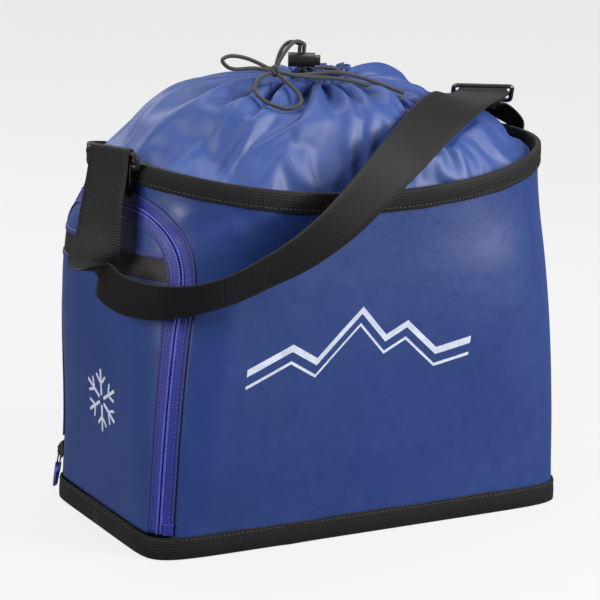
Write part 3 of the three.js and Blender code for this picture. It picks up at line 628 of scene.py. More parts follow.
def wall_cloth():
    edge = ZIP_S + HEADER_OUT
    header = edge * np.sin(np.linspace(-0.5, 0.5, 61) * math.pi)
    inner = 190
    shares = np.linspace(0, 1, inner)
    n_header = len(header)
    low_rows, high_rows = 64, 22
    columns = n_header + inner - 2
    top_grid = np.zeros((columns, high_rows, 2))
    low_grid = np.zeros((inner, low_rows, 2))
    # Rows are level shares of the height; columns run even shares round the rest of the section.
    for j in range(low_rows):
        z = lerp(4, ARCH_Z, j / low_rows)
        total = 2 * half_perimeter(z)
        low_grid[:, j, 0] = lerp(edge, total - edge, shares)
        low_grid[:, j, 1] = z
    for i in range(columns):
        for j in range(high_rows):
            v = j / (high_rows - 1)
            if i < n_header:
                s = header[i]
                low = arch_edge(s, HEADER_OUT)
                top_grid[i, j] = s, lerp(float(low), float(rim_top(s)) - 2.5, v)
            else:
                share = shares[i - n_header + 1]
                z = lerp(ARCH_Z, 345, v)
                s = lerp(edge, 2 * float(half_perimeter(z)) - edge, share)
                top = float(rim_top(lerp(edge, 2 * float(half_perimeter(HEIGHT)) - edge, share))) - 2.5
                top_grid[i, j] = s, lerp(ARCH_Z, top, v)
    grids = []
    for thick in (0.0, -CLOTH_THICK):
        for g in (top_grid, low_grid):
            grids.append(wall(g[..., 0], g[..., 1], thick).reshape(-1, 3))
    verts = np.concatenate(grids)
    n_top, n_low = columns * high_rows, inner * low_rows
    side = n_top + n_low

    def top(i, j, k=0):
        return k * side + (i % columns) * high_rows + j

    def low(i, j, k=0):
        # Column i of the lower part; its row low_rows is the upper part's row 0.
        if j == low_rows:
            column = (n_header - 1 + i) % columns
            return top(column, 0, k)
        return k * side + n_top + i * low_rows + j

    faces = []
    for k in (0, 1):
        part = []
        for i in range(columns):
            for j in range(high_rows - 1):
                part.append((top(i, j, k), top(i + 1, j, k), top(i + 1, j + 1, k), top(i, j + 1, k)))
        for i in range(inner - 1):
            for j in range(low_rows):
                part.append((low(i, j, k), low(i + 1, j, k), low(i + 1, j + 1, k), low(i, j + 1, k)))
        faces += [f[::-1] for f in part] if k else part
    for i in range(columns):
        j = high_rows - 1
        faces.append((top(i, j), top(i, j, 1), top(i + 1, j, 1), top(i + 1, j)))
    for i in range(n_header - 1):
        faces.append((top(i, 0), top(i, 0, 1), top(i + 1, 0, 1), top(i + 1, 0)))
    for i in range(inner - 1):
        faces.append((low(i, 0), low(i, 0, 1), low(i + 1, 0, 1), low(i + 1, 0)))
    for j in range(low_rows):
        faces.append((low(0, j + 1), low(0, j + 1, 1), low(0, j, 1), low(0, j)))
        i = inner - 1
        faces.append((low(i, j), low(i, j, 1), low(i, j + 1, 1), low(i, j + 1)))
    uv = np.concatenate([top_grid.reshape(-1, 2), low_grid.reshape(-1, 2)] * 2)
    cloth = make("wall_cloth", verts, turned_out(verts, faces), CLOTH, "bag", True, uv)
    stands_for(cloth, "wall_fabric", "front_panel", "back_panel", "right_end_panel", "left_header")
    return cloth


wall_cloth()

# ---- Bindings round the rim and the foot
def loop_stations(count, z):
    """Even steps round the section, closer round its corners."""
    total = 2 * float(half_perimeter(z))
    dense = np.linspace(0, total, 2000, endpoint=False)
    n = out_of(dense, z)
    turn = np.linalg.norm(n - np.roll(n, 1, 0), axis=1)
    weight = np.cumsum(turn + turn.sum() * 1.5 / len(dense))
    return np.interp(np.linspace(0, weight[-1], count, endpoint=False), weight, dense)


def rounded(points, radius, arc=3):
    """A polygon with its corners rounded."""
    p = np.asarray(points, float)
    out = []
    for i in range(len(p)):
        a, b, c = p[i - 1], p[i], p[(i + 1) % len(p)]
        r = min(radius, 0.45 * np.linalg.norm(a - b), 0.45 * np.linalg.norm(c - b))
        s, e = b + unit(a - b) * r, b + unit(c - b) * r
        for k in range(arc + 1):
            t = k / arc
            out.append((1 - t) ** 2 * s + 2 * t * (1 - t) * b + t * t * e)
    return np.array(out)


def rim_binding():
    s = loop_stations(240, HEIGHT)
    top = rim_top(s)
    section = rounded(
        [(0.5, -RIM_BAND), (2.3, -RIM_BAND), (2.6, -9), (2.2, 0), (-4.2, 0), (-4.6, -9), (-4.2, -RIM_BAND),
         (-2.6, -RIM_BAND), (-2.5, -2.2), (0.5, -2.2)],
        1.6,
    )
    wob = 0.35 * np.sin(s / 19) + 0.25 * np.sin(s / 7.3 + 1)
    rings = np.array([wall(s, top + dz + wob * (dz < -1), off) for off, dz in section]).transpose(1, 0, 2)
    uv = np.stack(np.broadcast_arrays((section[:, 1] + 30)[None], s[:, None]), -1)
    piece = loft("rim_tape", rings, BINDING, "bag", True, uv)
    stands_for(piece, "binding", "rim_binding")
    ends = np.append(s, s[0] + 2 * float(half_perimeter(HEIGHT)))
    path = wall(ends, rim_top(ends) - RIM_BAND + 3.2, 2.45)
    row = joined("rim_stitches", stitches(path, out_of(ends, HEIGHT)), BLACK_THREAD, "bag")


def base_binding():
    s = loop_stations(260, 11)
    sag = 0.4 * np.sin(s / 23) + 0.3 * np.sin(s / 9.1)
    section = rounded([(0.4, 0.3), (2.2, 0.3), (2.7, 9), (2.3, BASE_BAND), (0.4, BASE_BAND)], 1.3)
    lap_at = 250.0  # where the tape's two ends lap, at the front left of centre
    lap = 1.1 * np.exp(-(((s - lap_at) / 9) ** 2)) + 0.5 * np.exp(-(((s - lap_at - 14) / 3) ** 2))
    rings = np.array(
        [wall(s, z + sag * (z > 5), off + lap * (off > 1)) for off, z in section]
    ).transpose(1, 0, 2)
    uv = np.stack(np.broadcast_arrays(section[:, 1][None], s[:, None]), -1)
    piece = loft("base_tape", rings, BINDING, "bag", True, uv)
    stands_for(piece, "binding", "base_binding")
    ends = np.append(s, s[0] + 2 * float(half_perimeter(11)))
    path = wall(ends, BASE_BAND - 3.0, 2.5)
    row = joined("base_stitches", stitches(path, out_of(ends, 20.0)), BLACK_THREAD, "bag")


rim_binding()
base_binding()

# ---- Zip round the door
LEG = ARCH_Z - DOOR_FOOT
QUARTER = math.pi / 2 * ARCH_R
ZIP_LENGTH = 2 * LEG + 2 * QUARTER + 2 * FLAT
DOOR_HALF_END = 1 - (SLIDER_Z + PARK_GAP - DOOR_FOOT) / ZIP_LENGTH


def zip_line(t):
    """Points of the zip's middle line as (s, z, sideways s, sideways z)."""
    d = np.asarray(t, float) * ZIP_LENGTH
    side = np.where(d <= ZIP_LENGTH / 2, 1.0, -1.0)
    k = np.where(side > 0, d, ZIP_LENGTH - d)
    angle = np.clip((k - LEG) / ARCH_R, 0, math.pi / 2)
    flat = np.clip(k - LEG - QUARTER, 0, FLAT)
    s = side * (FLAT + ARCH_R * np.cos(angle) - flat)
    z = np.where(k < LEG, DOOR_FOOT + k, ARCH_Z + ARCH_R * np.sin(angle))
    return s, z, side * np.cos(angle), np.sin(angle)


def zip_points(t, q, off):
    s, z, ns, nz = zip_line(t)
    return wall(s + q * ns, z + q * nz, off)


def zip_strip(name, section, material, body, end, *nodes):
    """A strip with the given section along the zip, as far as the share end of its length."""
    t = np.linspace(0, end, 220)
    rings = np.array([zip_points(t, q, off) for q, off in section]).transpose(1, 0, 2)
    uv = np.stack(np.broadcast_arrays(section[:, 0][None], (t * ZIP_LENGTH)[:, None]), -1)
    stands_for(loft(name, rings, material, body, False, uv), "zip_tape", *nodes)


def mirrored(section):
    return np.asarray(section)[::-1] * [-1, 1]


# Cross-sections of the zip's tape and of its corded edge: across from the middle line, and off the wall.
TAPE_SIDE = ZIP_HALF + 0.2
EDGE_IN, EDGE_OUT = ZIP_HALF - 1.2, ZIP_HALF + 1.1
TAPE = rounded(
    [(0.25, -1.2), (TAPE_SIDE, -1.0), (TAPE_SIDE, 0.7), (ZIP_HALF - 2, 1.0), (4, 0.5), (0.25, 0.3)],
    0.5,
)
EDGE = rounded(
    [(EDGE_IN, 0.5), (EDGE_OUT, 0.2), (EDGE_OUT, 1.4), (ZIP_HALF - 0.2, 1.8), (EDGE_IN, 1.3)],
    0.6,
)
zip_strip("tape_bag", TAPE, ZIP_CLOTH, "bag", 1.0, "zip_tape_bag")
zip_strip("tape_door", mirrored(TAPE), ZIP_CLOTH, "door", DOOR_HALF_END, "zip_tape_door")
zip_strip("tape_edge_bag", EDGE, PIPING, "bag", 1.0)
zip_strip("tape_edge_door", mirrored(EDGE), PIPING, "door", DOOR_HALF_END)


def coil(name, side, body, end, node_name):
    """Moulded coil: a rounded bar with a bump for each turn."""
    turns = int(ZIP_LENGTH * end / 2.6)
    t = np.linspace(0, end, turns * 4 + 1)
    bump = 0.5 - 0.5 * np.cos(np.arange(len(t)) * math.pi / 2 + (0 if side > 0 else math.pi))
    a = np.linspace(0, 2 * math.pi, 8, endpoint=False)
    rings = []
    for angle in a:
        q = side * (1.75 + (1.0 + 0.35 * bump) * math.cos(angle))
        off = 0.95 + (0.35 + 0.4 * bump) * math.sin(angle)
        rings.append(zip_points(t, q, off))
    piece = loft(name, np.array(rings).transpose(1, 0, 2), COIL, body)
    stands_for(piece, "zip_coil", node_name)


coil("coil_bag", 1, "bag", 1.0, "zip_coil_bag")
coil("coil_door", -1, "door", DOOR_HALF_END, "zip_coil_door")


def zip_stitches(name, q, off, body, end):
    t = np.linspace(0.004, end - 0.004, 400)
    s, z, ns, nz = zip_line(t)
    path = wall(s + q * ns, z + q * nz, off)
    piece = joined(name, stitches(path, out_of(s + q * ns, z + q * nz)), THREAD, body)


zip_stitches("zip_seam_bag", ZIP_HALF - 3.6, 0.95, "bag", 1.0)
zip_stitches("zip_seam_door", -ZIP_HALF + 3.6, 0.95, "door", DOOR_HALF_END)

# ---- Door
INSET = ZIP_HALF + 0.4


def door_half(z, inset=INSET):
    radius = ARCH_R - inset
    rise = np.clip(z - ARCH_Z, 0, radius)
    return FLAT + np.sqrt(radius**2 - rise**2)


def door_sheet(name, low, high, rows, node_name):
    """One of the door's two panels, as wide as the door at each height."""
    share = np.linspace(0, 1, rows)
    if high > ARCH_Z + 40:  # the upper panel: its rows are closer towards the arch's top
        share = np.sin(share * math.pi / 2)
    z = lerp(low, high, share)[None, :]
    s, z = np.broadcast_arrays(np.linspace(-1, 1, 70)[:, None] * door_half(z), z)
    wall_sheet(name, s, z, 0.0, CLOTH_THICK, CLOTH, "door", "wall_fabric", node_name)


door_sheet("door_lower_cloth", DOOR_FOOT - 1.6, VENT_LOW + 0.5, 76, "door_lower_panel")
door_sheet("door_upper_cloth", VENT_HIGH - 0.5, ARCH_TOP - INSET, 16, "door_upper_panel")


def vent_net():
    """Open net: a sheet with a hole in every cell."""
    columns, rows = 108, 16
    verts, faces = [], []
    low, high = VENT_LOW - 1, VENT_HIGH + 1

    grid = {}

    def vert(i, j, off):
        key = (round(i, 4), round(j, 4), off)
        if key not in grid:
            z = lerp(low, high, j / rows)
            s = lerp(-1, 1, i / columns) * float(door_half(z))
            grid[key] = len(verts)
            verts.append(wall(s, z, off))
        return grid[key]

    outer, inner = -0.3, -1.1
    hole = 0.24  # share of a cell from its edge to the hole
    for i in range(columns):
        for j in range(rows):
            o = [(i, j), (i + 1, j), (i + 1, j + 1), (i, j + 1)]
            left, right = i + hole, i + 1 - hole
            low_edge, high_edge = j + hole, j + 1 - hole
            h = [(left, low_edge), (right, low_edge), (right, high_edge), (left, high_edge)]
            for k in range(4):
                a, b, c, d = o[k], o[(k + 1) % 4], h[(k + 1) % 4], h[k]
                faces.append([vert(*q, outer) for q in (a, b, c, d)])
                faces.append([vert(*q, inner) for q in (d, c, b, a)])
                faces.append([vert(*d, outer), vert(*c, outer), vert(*c, inner), vert(*d, inner)])
    rim = [((i, 0), (i + 1, 0)) for i in range(columns)]
    rim += [((columns, j), (columns, j + 1)) for j in range(rows)]
    rim += [((i + 1, rows), (i, rows)) for i in range(columns)]
    rim += [((0, j + 1), (0, j)) for j in range(rows)]
    for a, b in rim:
        faces.append([vert(*b, outer), vert(*a, outer), vert(*a, inner), vert(*b, inner)])
    faces = [tuple(f) for f in faces]
    piece = make("vent_net", verts, turned_out(verts, faces), NET, "door", False)
    stands_for(piece, "vent_mesh", "door_vent_mesh")
    parts = []
    for z in (VENT_LOW, VENT_HIGH):
        s = np.linspace(-1, 1, 90) * float(door_half(z))
        section = rounded([(-2.4, -0.6), (2.4, -0.6), (2.4, 0.9), (-2.4, 0.9)], 0.7)
        rings = np.array([wall(s, z + dz, off) for dz, off in section]).transpose(1, 0, 2)
        parts.append(loft_data(rings))
    edge = joined("vent_edges", parts, PIPING, "door")


vent_net()


def end_patch(name, side, node_name):
    s = side * (ZIP_S + np.linspace(3.6, ZIP_HALF + 1, 12))
    z = np.linspace(DOOR_FOOT - 1, DOOR_FOOT + 10, 10)
    s, z = np.meshgrid(s, z, indexing="ij")
    wall_sheet(name, s, z, 2.1, 1.2, ZIP_CLOTH, "bag", "zip_tape", node_name)


end_patch("zip_patch_front", 1, "zip_stop_front")
end_patch("zip_patch_rear", -1, "zip_stop_rear")

# ---- Generic prints, thin raised ink
def print_film(low, high, steps=2):
    """A thin closed film over a wall, between its lower and its upper line, (n, 2) each as (s, z)."""
    share = np.linspace(0, 1, steps + 1)[None, :, None]
    grid = low[:, None] * (1 - share) + high[:, None] * share
    s, z = grid[..., 0], grid[..., 1]
    verts, faces = slab_grid(wall(s, z, 0.28), 0.7, out_of(s, z))
    uv = np.tile(grid.reshape(-1, 2), (2, 1))
    return verts, faces, uv


def mountain_print():
    """A plain ridge of hills on the front, in one line of even weight."""
    corners = [(185, 176), (230, 196), (258, 180), (300, 226), (330, 196), (352, 208), (388, 178), (430, 186)]
    peaks = np.array(corners, float)
    parts = []
    for shift, weight in ((0, 7.0), (-14, 3.0)):
        legs = zip(peaks[:-1], peaks[1:])
        line = np.array([lerp(a, b, f / 12) for a, b in legs for f in range(12)])
        low = line + [0, shift - weight / 2]
        high = line + [0, shift + weight / 2]
        parts.append(print_film(low, high))
    piece = joined("front_print", parts, PRINT, "bag")
    piece.data.shade_flat()


def flake_print():
    """A plain six-armed flake on the door."""
    parts = []
    centre = np.array([4.0, 128.0])

    def stroke(a, b, weight):
        d = (b - a) / np.linalg.norm(b - a)
        side = np.array([-d[1], d[0]]) * weight / 2
        line = np.array([lerp(a, b, f / 8) for f in range(9)])
        parts.append(print_film(line - side, line + side))

    for k in range(6):
        a = k * math.pi / 3 + math.pi / 6
        d = np.array([math.cos(a), math.sin(a)])
        stroke(centre + d * 5, centre + d * 31, 3.2)
        for turn in (-1, 1):
            b = a + turn * math.pi / 4
            e = np.array([math.cos(b), math.sin(b)])
            root = centre + d * 16 + e * 2.6
            stroke(root, root + e * 10, 2.6)
    piece = joined("door_print", parts, PRINT, "door")
    piece.data.shade_flat()


mountain_print()
flake_print()

# ---- Shoulder strap, ring, adjuster and tabs
STRAP_WIDTH, STRAP_THICK = 48.0, 2.0
WRAP = 3.7  # from a bar's middle to the middle of the webbing round it
RING_BAR = np.array([0.407, -0.914, 0.0])
RING_OUT = np.array([-0.914, -0.407, 0.0])
RING_LOW = np.array([-236.0, -39.0, 363.0])
RING_HIGH = np.array([-240.0, -42.0, 377.0])
slide_down = np.array([0.6, 0.5, -0.62])
SLIDE_DOWN = unit(slide_down - AXIS * np.dot(slide_down, AXIS))
SLIDE_OUT = unit(np.cross(SLIDE_DOWN, AXIS))
SLIDE_OUT = SLIDE_OUT if SLIDE_OUT[2] > 0 else -SLIDE_OUT
SLIDE_TOP = np.array([183.0, -12.0, 412.0])
LEFT = -AXIS


def slide_bar(i):
    return SLIDE_TOP + SLIDE_DOWN * 13.0 * i


def turn_round(centre, first, second, across, start=0.0, end=1.0, steps=6):
    out = []
    for i in range(steps + 1):
        a = math.pi * lerp(start, end, i / steps)
        out.append((centre + WRAP * (first * math.cos(a) + second * math.sin(a)), across))
    return out


def webbing(stations, width, thick, per=6):
    middle = np.array([np.asarray(c, float) for c, _ in stations])
    edges = unit(np.array([np.asarray(e, float) for _, e in stations]))
    path = spline(middle, per)
    pairs = zip(edges[:-1], edges[1:])
    edge = np.array([lerp(a, b, k / per) for a, b in pairs for k in range(per)])
    edge = np.concatenate([edge, edges[-1:]])
    for _ in range(2):
        edge[1:-1] = (edge[:-2] + 2 * edge[1:-1] + edge[2:]) / 4
    return path, unit(edge), ribbon_data(path, unit(edge), width, thick)


RING_EDGE = -RING_BAR
SLIDE_IN = -SLIDE_OUT
CROSS = math.asin(2 * WRAP / 13.0) / math.pi
STRAP_STATIONS = [
    (RING_HIGH + RING_OUT * 1 - UP * 30, RING_EDGE),
    (RING_HIGH + RING_OUT * 1 - UP * 11, RING_EDGE),
    (RING_HIGH - RING_OUT * 1.5 - UP * 6, RING_EDGE),
    *turn_round(RING_HIGH, -RING_OUT, UP, RING_EDGE),
    ((-245.5, -44.5, 358), RING_EDGE),
    ((-252, -47, 328), (-0.42, 0.9, 0.05)),
    ((-257, -51, 302), (-0.45, 0.85, 0.25)),
    ((-264, -59, 275), (-0.38, 0.5, 0.77)),
    ((-256, -78, 257), (-0.3, 0.3, 0.9)),
    ((-247, -101, 252), (-0.4, -0.1, 0.9)),
    ((-238, -121, 252), (-0.4, -0.4, 0.82)),
    ((-225, -140, 254), (-0.35, -0.55, 0.76)),
    ((-204, -155, 258), (-0.35, -0.6, 0.72)),
    ((-175, -163, 266), (-0.5, -0.56, 0.66)),
    ((-138, -166, 281), (-0.6, -0.5, 0.62)),
    ((-100, -166, 298), (-0.65, -0.36, 0.66)),
    ((-60, -163, 323), (-0.72, -0.2, 0.66)),
    ((4, -145, 368), (-0.68, 0.1, 0.72)),
    ((68, -101, 394), (-0.56, 0.45, 0.7)),
    ((112, -68, 404), (-0.7, 0.52, 0.48)),
    ((148, -42, 405), (-0.84, 0.53, 0.08)),
    (slide_bar(0) + SLIDE_IN * (WRAP + 3) + FRONT * 9, LEFT),
    *turn_round(slide_bar(0), SLIDE_IN, SLIDE_DOWN, LEFT, 0, CROSS, 2),
    *turn_round(slide_bar(1), SLIDE_OUT, SLIDE_DOWN, LEFT, -CROSS, 1, 7),
    (SLIDE_TOP + SLIDE_IN * (WRAP + 3), LEFT),
    ((168, -26, 403), LEFT),
]


def strap():
    path, edge, data = webbing(STRAP_STATIONS, STRAP_WIDTH, STRAP_THICK)
    piece = joined("strap_webbing", [data], WEBBING, "strap")
    stands_for(piece, "webbing", "shoulder_strap")
    return path, edge


STRAP_PATH, STRAP_EDGE = strap()


def tab(name, stations, node_name):
    _, _, data = webbing(stations, 30, 2.0)
    piece = joined(name, [data], WEBBING)
    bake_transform(piece)
    stands_for(piece, "webbing", node_name)


END_X = 230.6
END_Z = 368.0
TAB_S = 30.0
tab(
    "ring_tab",
    [
        ((-END_X - 0.4, -TAB_S, END_Z - 29), (-0.03, 1, 0)),
        ((-END_X - 1, -TAB_S - 3, END_Z - 19), (-0.1, 1, 0)),
        ((-END_X - 1.7, -TAB_S - 6.5, END_Z - 12), (-0.3, 0.95, 0)),
        (RING_LOW + RING_OUT * (-WRAP - 0.3) - UP * 3, RING_EDGE),
        *turn_round(RING_LOW, -RING_OUT, UP, RING_EDGE),
        (RING_LOW + RING_OUT * (WRAP + 0.2) - UP * 3, RING_EDGE),
        (RING_LOW + RING_OUT * WRAP - UP * 10, RING_EDGE),
    ],
    "left_tab",
)
LOW_BAR = slide_bar(2)
tab(
    "adjuster_tab",
    [
        ((END_X, 0, END_Z - 22), (0, 1, 0)),
        ((END_X, 0, END_Z - 8), (0, 1, 0)),
        ((END_X + 0.8, 1, END_Z + 4), (-0.08, 0.99, 0)),
        ((END_X - 12, 13, END_Z + 15), (-0.6, 0.8, 0)),
        (LOW_BAR + SLIDE_DOWN * 11 + SLIDE_OUT * WRAP, LEFT),
        *turn_round(LOW_BAR, SLIDE_OUT, -SLIDE_DOWN, LEFT),
        (LOW_BAR + SLIDE_DOWN * 10 + SLIDE_IN * WRAP, LEFT),
    ],
    "right_tab",
)


def anchor_patch(name, middle, low, high, node_name):
    s = middle + np.linspace(-18, 18, 14)
    v = np.linspace(0, 1, 7)
    s, v = np.meshgrid(s, v, indexing="ij")
    top = rim_top(s)
    z = top - lerp(low, high, v)
    off = 4.7 + 0.5 * np.sin(np.pi * v) * np.cos((s - middle) / 18 * math.pi / 2)
    wall_sheet(name, s, z, off, 1.8, BINDING, "bag", "webbing", node_name)
    lines = []
    for d in (3, -3):
        u = np.linspace(-15, 15, 20)
        zz = rim_top(middle + u) - lerp(low, high, 0.5) + d
        lines += stitches(wall(middle + u, zz, 5.1), out_of(middle + u, zz))
    joined(name + "_stitches", lines, BLACK_THREAD, "bag")


anchor_patch("left_patch", 30.0, 34, 20, "left_anchor")
anchor_patch("right_patch", float(half_perimeter(HEIGHT)), 26, 4, "right_anchor")

# ---- Drawstring, with its bow
KNOT = np.array([-70.0, -38.0, 442.0])
LOCK = np.array([-30.0, -18.0, 448.5])
CORD_R, CORD_GAP = 1.9, 2.1
HEM_R, HEM_Z = 20.0, 434.0
SLOT_AT, SLOT_HALF = math.radians(212), 0.255


def cord_paths():
    """The hem loop through the lock, then the bow's two loops and the two ends."""

    def riser(side, up):
        return LOCK + AXIS * CORD_GAP * side + UP * up

    a = SLOT_AT + SLOT_HALF + np.linspace(0, 1, 25) * 2 * (math.pi - SLOT_HALF)
    hem = [np.array([HEM_R * math.cos(x), HEM_R * math.sin(x), HEM_Z]) for x in a][::-1]
    heights = (15, 11, 6, -6, -10)
    near = [KNOT, (-58, -27, 459), (-44, -18, 466), *(riser(-1, up) for up in heights)]
    far = [*(riser(1, up) for up in heights[::-1]), (-41, -24, 467), (-58, -33, 457), KNOT]
    main = [*near, *hem, *far]
    side = [KNOT, (-102, -36, 456), (-125, -38, 456), (-118, -40, 447), (-92, -40, 446), KNOT]
    low = [KNOT, (-94, -50, 436), (-101, -64, 424), (-80, -82, 413), (-62, -78, 420), KNOT]
    end_a = [KNOT, (-50, -44, 438), (-5, -38, 438), (30, -40, 430), (66, -52, 416)]
    end_b = [KNOT, (-50, -50, 438), (-5, -50, 433), (30, -48, 424), (60, -60, 412)]
    return [spline([np.asarray(p, float) for p in c], 6) for c in (main, side, low, end_a, end_b)]


CORDS = cord_paths()


def knot_path():
    """The cord wound round itself, twice."""
    t = np.linspace(0, 4 * math.pi, 60)
    wound = np.stack([0.66 * t - 4.1, 4.0 * np.cos(t), 4.0 * np.sin(t)], -1)
    along, across = unit([0.9, -0.2, 0.3]), unit([0.2, 0.9, 0.0])
    return KNOT + wound @ np.stack([along, across, unit(np.cross(along, across))])


def drawstring():
    parts = [tube_data(path, CORD_R, 12) for path in (*CORDS, knot_path())]
    piece = joined("drawstring", parts, CORD, "neck")
    stands_for(piece, "cord", "drawcord")


drawstring()

# ---- Gathered top: one cloth from the rim to the cord, pleated towards the neck
NECK_R, NECK_Z = 25.0, 430.0
PLEATS = 23
TOP_LIMIT = 452.0  # no point of the sheet is put higher than this before it is smoothed
CLOTH_FRAMES = 20
MOST_MOVED = 12.0  # how far the cloth run may carry a point
SWINGS = (15, 30, 45, 60)  # degrees at which the swinging strap and adjuster are kept clear


def swung(points, degrees):
    """The points after the strap has swung by that much."""
    joint = next(j for j in frame["joints"] if j["name"] == "strap_swing")
    pivot, axis = np.array(joint["pos_m"]) * 1000, unit(joint["axis"])
    c, s = math.cos(math.radians(degrees)), math.sin(math.radians(degrees))
    p = points - pivot
    along = (p @ axis)[:, None] * axis
    return pivot + p * c + np.cross(axis, p) * s + along * (1 - c)


def things_over_the_top():
    """Points of the strap, the adjuster and the loose cords, each with the room it needs below it."""
    rows = [STRAP_PATH + STRAP_EDGE * (STRAP_WIDTH / 2 + 2) * f for f in np.linspace(-1, 1, 9)]
    webbing_points = np.concatenate(rows)
    bars = [slide_bar(i) + AXIS * x for i in (0, 0.5, 1, 1.5, 2) for x in np.linspace(-30, 30, 13)]
    low_tab = [lerp(LOW_BAR, np.array([END_X - 4, 2, END_Z + 8]), k) for k in np.linspace(0, 1, 8)]
    sides = [p + np.array([0.5, 0.85, 0]) * x for p in low_tab for x in np.linspace(-15, 15, 7)]
    loose = np.concatenate(CORDS[1:])
    groups = [(webbing_points, 4.5), (np.array(bars), 7.0), (np.array(sides), 6.5), (loose, 4.2)]
    for angle in SWINGS:
        groups.append((swung(webbing_points[::2], angle), 3.2))
        groups.append((swung(np.array(bars), angle), 5.5))
    points = np.concatenate([p for p, _ in groups])
    room = np.concatenate([np.full(len(p), drop) for p, drop in groups])
    over = points[:, 2] > 352
    return points[over], room[over]


def kept_under(p):
    """The points, pushed down where something lies over them."""
    things, room = things_over_the_top()
    out = p.copy()
    for i in range(0, len(p), 2000):
        d = np.linalg.norm(p[i : i + 2000, None, :2] - things[None, :, :2], axis=-1)
        limit = (things[None, :, 2] - room[None] + np.maximum(0, d - 4) ** 2 / 9).min(1)
        out[i : i + 2000, 2] = np.minimum(p[i : i + 2000, 2], limit)
    return out


def collar_grid(nu, nv):
    """The sheet before the cloth run: rows from the rim to the neck, with pleats of uneven size."""
    v = np.arange(nu) / nu
    total = 2 * float(half_perimeter(HEIGHT))
    s = v * total
    foot = wall(s, rim_top(s) - RIM_BAND + 2, -6.9)
    around = np.arctan2(foot[:, 1], foot[:, 0])
    length = np.hypot(foot[:, 0], foot[:, 1])
    rng = np.random.default_rng(11)
    phase = np.cumsum(rng.uniform(0.55, 1.45, PLEATS))
    knots = np.concatenate([[0], phase / phase[-1]]) * 2 * math.pi
    place = np.mod(around, 2 * math.pi)
    pleat = np.interp(place, knots, np.arange(PLEATS + 1)) * 2 * math.pi
    size = np.interp(place, knots, np.append(rng.uniform(0.6, 1.3, PLEATS), 1))
    reach_in = np.interp(place, knots, np.append(rng.uniform(0.25, 0.6, PLEATS), 0.4))
    grid = np.zeros((nu, nv, 3))
    for j in range(nv):
        k = j / (nv - 1)
        r = k**1.25
        dip = np.exp(-(((around + 0.46) / 0.6) ** 2))
        full = 0.93 * (1 - max(0, 1 - r) ** 4.2) + 0.07 * r**3
        z = foot[:, 2] + (NECK_Z - 6 - foot[:, 2]) * full - 14 * dip * math.sin(math.pi * r)
        wave = np.cos(pleat + 0.6 * np.sin(3 * r + pleat / 3))
        ridge = np.sign(wave) * np.abs(wave) ** 0.8
        strong = smooth(r, reach_in - 0.3, reach_in + 0.35)
        fade = 1 - 0.55 * smooth(r, 0.8, 1)
        lift = 9.0 * size * strong * fade * ridge
        big = 5 * math.sin(math.pi * min(1, r * 1.15)) * np.sin(4 * around + 0.7) * smooth(r, 0.05, 0.4)
        radius = lerp(length, NECK_R, r) + 2.6 * strong * smooth(r, 0.7, 1) * ridge
        sideways = 0.16 * strong * smooth(r, 0.4, 1) * np.sin(pleat) * size * 0.6
        angle = around + sideways * 20 / np.maximum(radius, 20)
        grid[:, j] = np.stack([radius * np.cos(angle), radius * np.sin(angle), z + lift + big], -1)
        if j < 4:
            hold = (j / 4) ** 2
            grid[:, j, 2] = lerp(foot[:, 2] + 4 * j, grid[:, j, 2], hold)
    return grid


def cloth_run(grid, nu, nv):
    """A short cloth run on the sheet, held at rim and neck: longer than its span, the cloth buckles."""
    mesh = bpy.data.meshes.new("sheet")
    n = nu * nv
    faces = [
        (i * nv + j, ((i + 1) % nu) * nv + j, ((i + 1) % nu) * nv + j + 1, i * nv + j + 1)
        for i in range(nu)
        for j in range(nv - 1)
    ]
    mesh.from_pydata((grid.reshape(-1, 3) / 1000).tolist(), [], faces)
    cloth = linked("sheet", mesh)
    held = cloth.vertex_groups.new(name="held")
    for i in range(nu):
        for j in (0, 1, 2, nv - 2, nv - 1):
            held.add([i * nv + j], 1.0, "REPLACE")
    mod = cloth.modifiers.new("cloth", "CLOTH")
    c = mod.settings
    c.quality, c.mass = 6, 0.2
    c.tension_stiffness = c.compression_stiffness = 20
    c.shear_stiffness, c.bending_stiffness = 6, 0.25
    c.tension_damping, c.air_damping = 12, 6
    c.shrink_min = -0.07  # the cloth is made 7 % larger than the sheet, so that it buckles
    c.vertex_group_mass = "held"
    c.effector_weights.gravity = 0
    mod.collision_settings.use_collision = False
    scene = bpy.context.scene
    scene.frame_start, scene.frame_end = 1, CLOTH_FRAMES
    mod.point_cache.frame_start, mod.point_cache.frame_end = 1, CLOTH_FRAMES
    for f in range(1, CLOTH_FRAMES + 1):
        scene.frame_set(f)
    depsgraph = bpy.context.evaluated_depsgraph_get()
    done = cloth.evaluated_get(depsgraph).to_mesh()
    co = np.zeros(n * 3)
    done.vertices.foreach_get("co", co)
    co = co.reshape(nu, nv, 3) * 1000
    cloth.evaluated_get(depsgraph).to_mesh_clear()
    bpy.data.objects.remove(cloth)
    bpy.data.meshes.remove(mesh)
    scene.frame_set(1)
    move = co - grid
    far = np.linalg.norm(move, axis=-1, keepdims=True)
    return grid + move * np.minimum(1, MOST_MOVED / np.maximum(far, 1e-6))


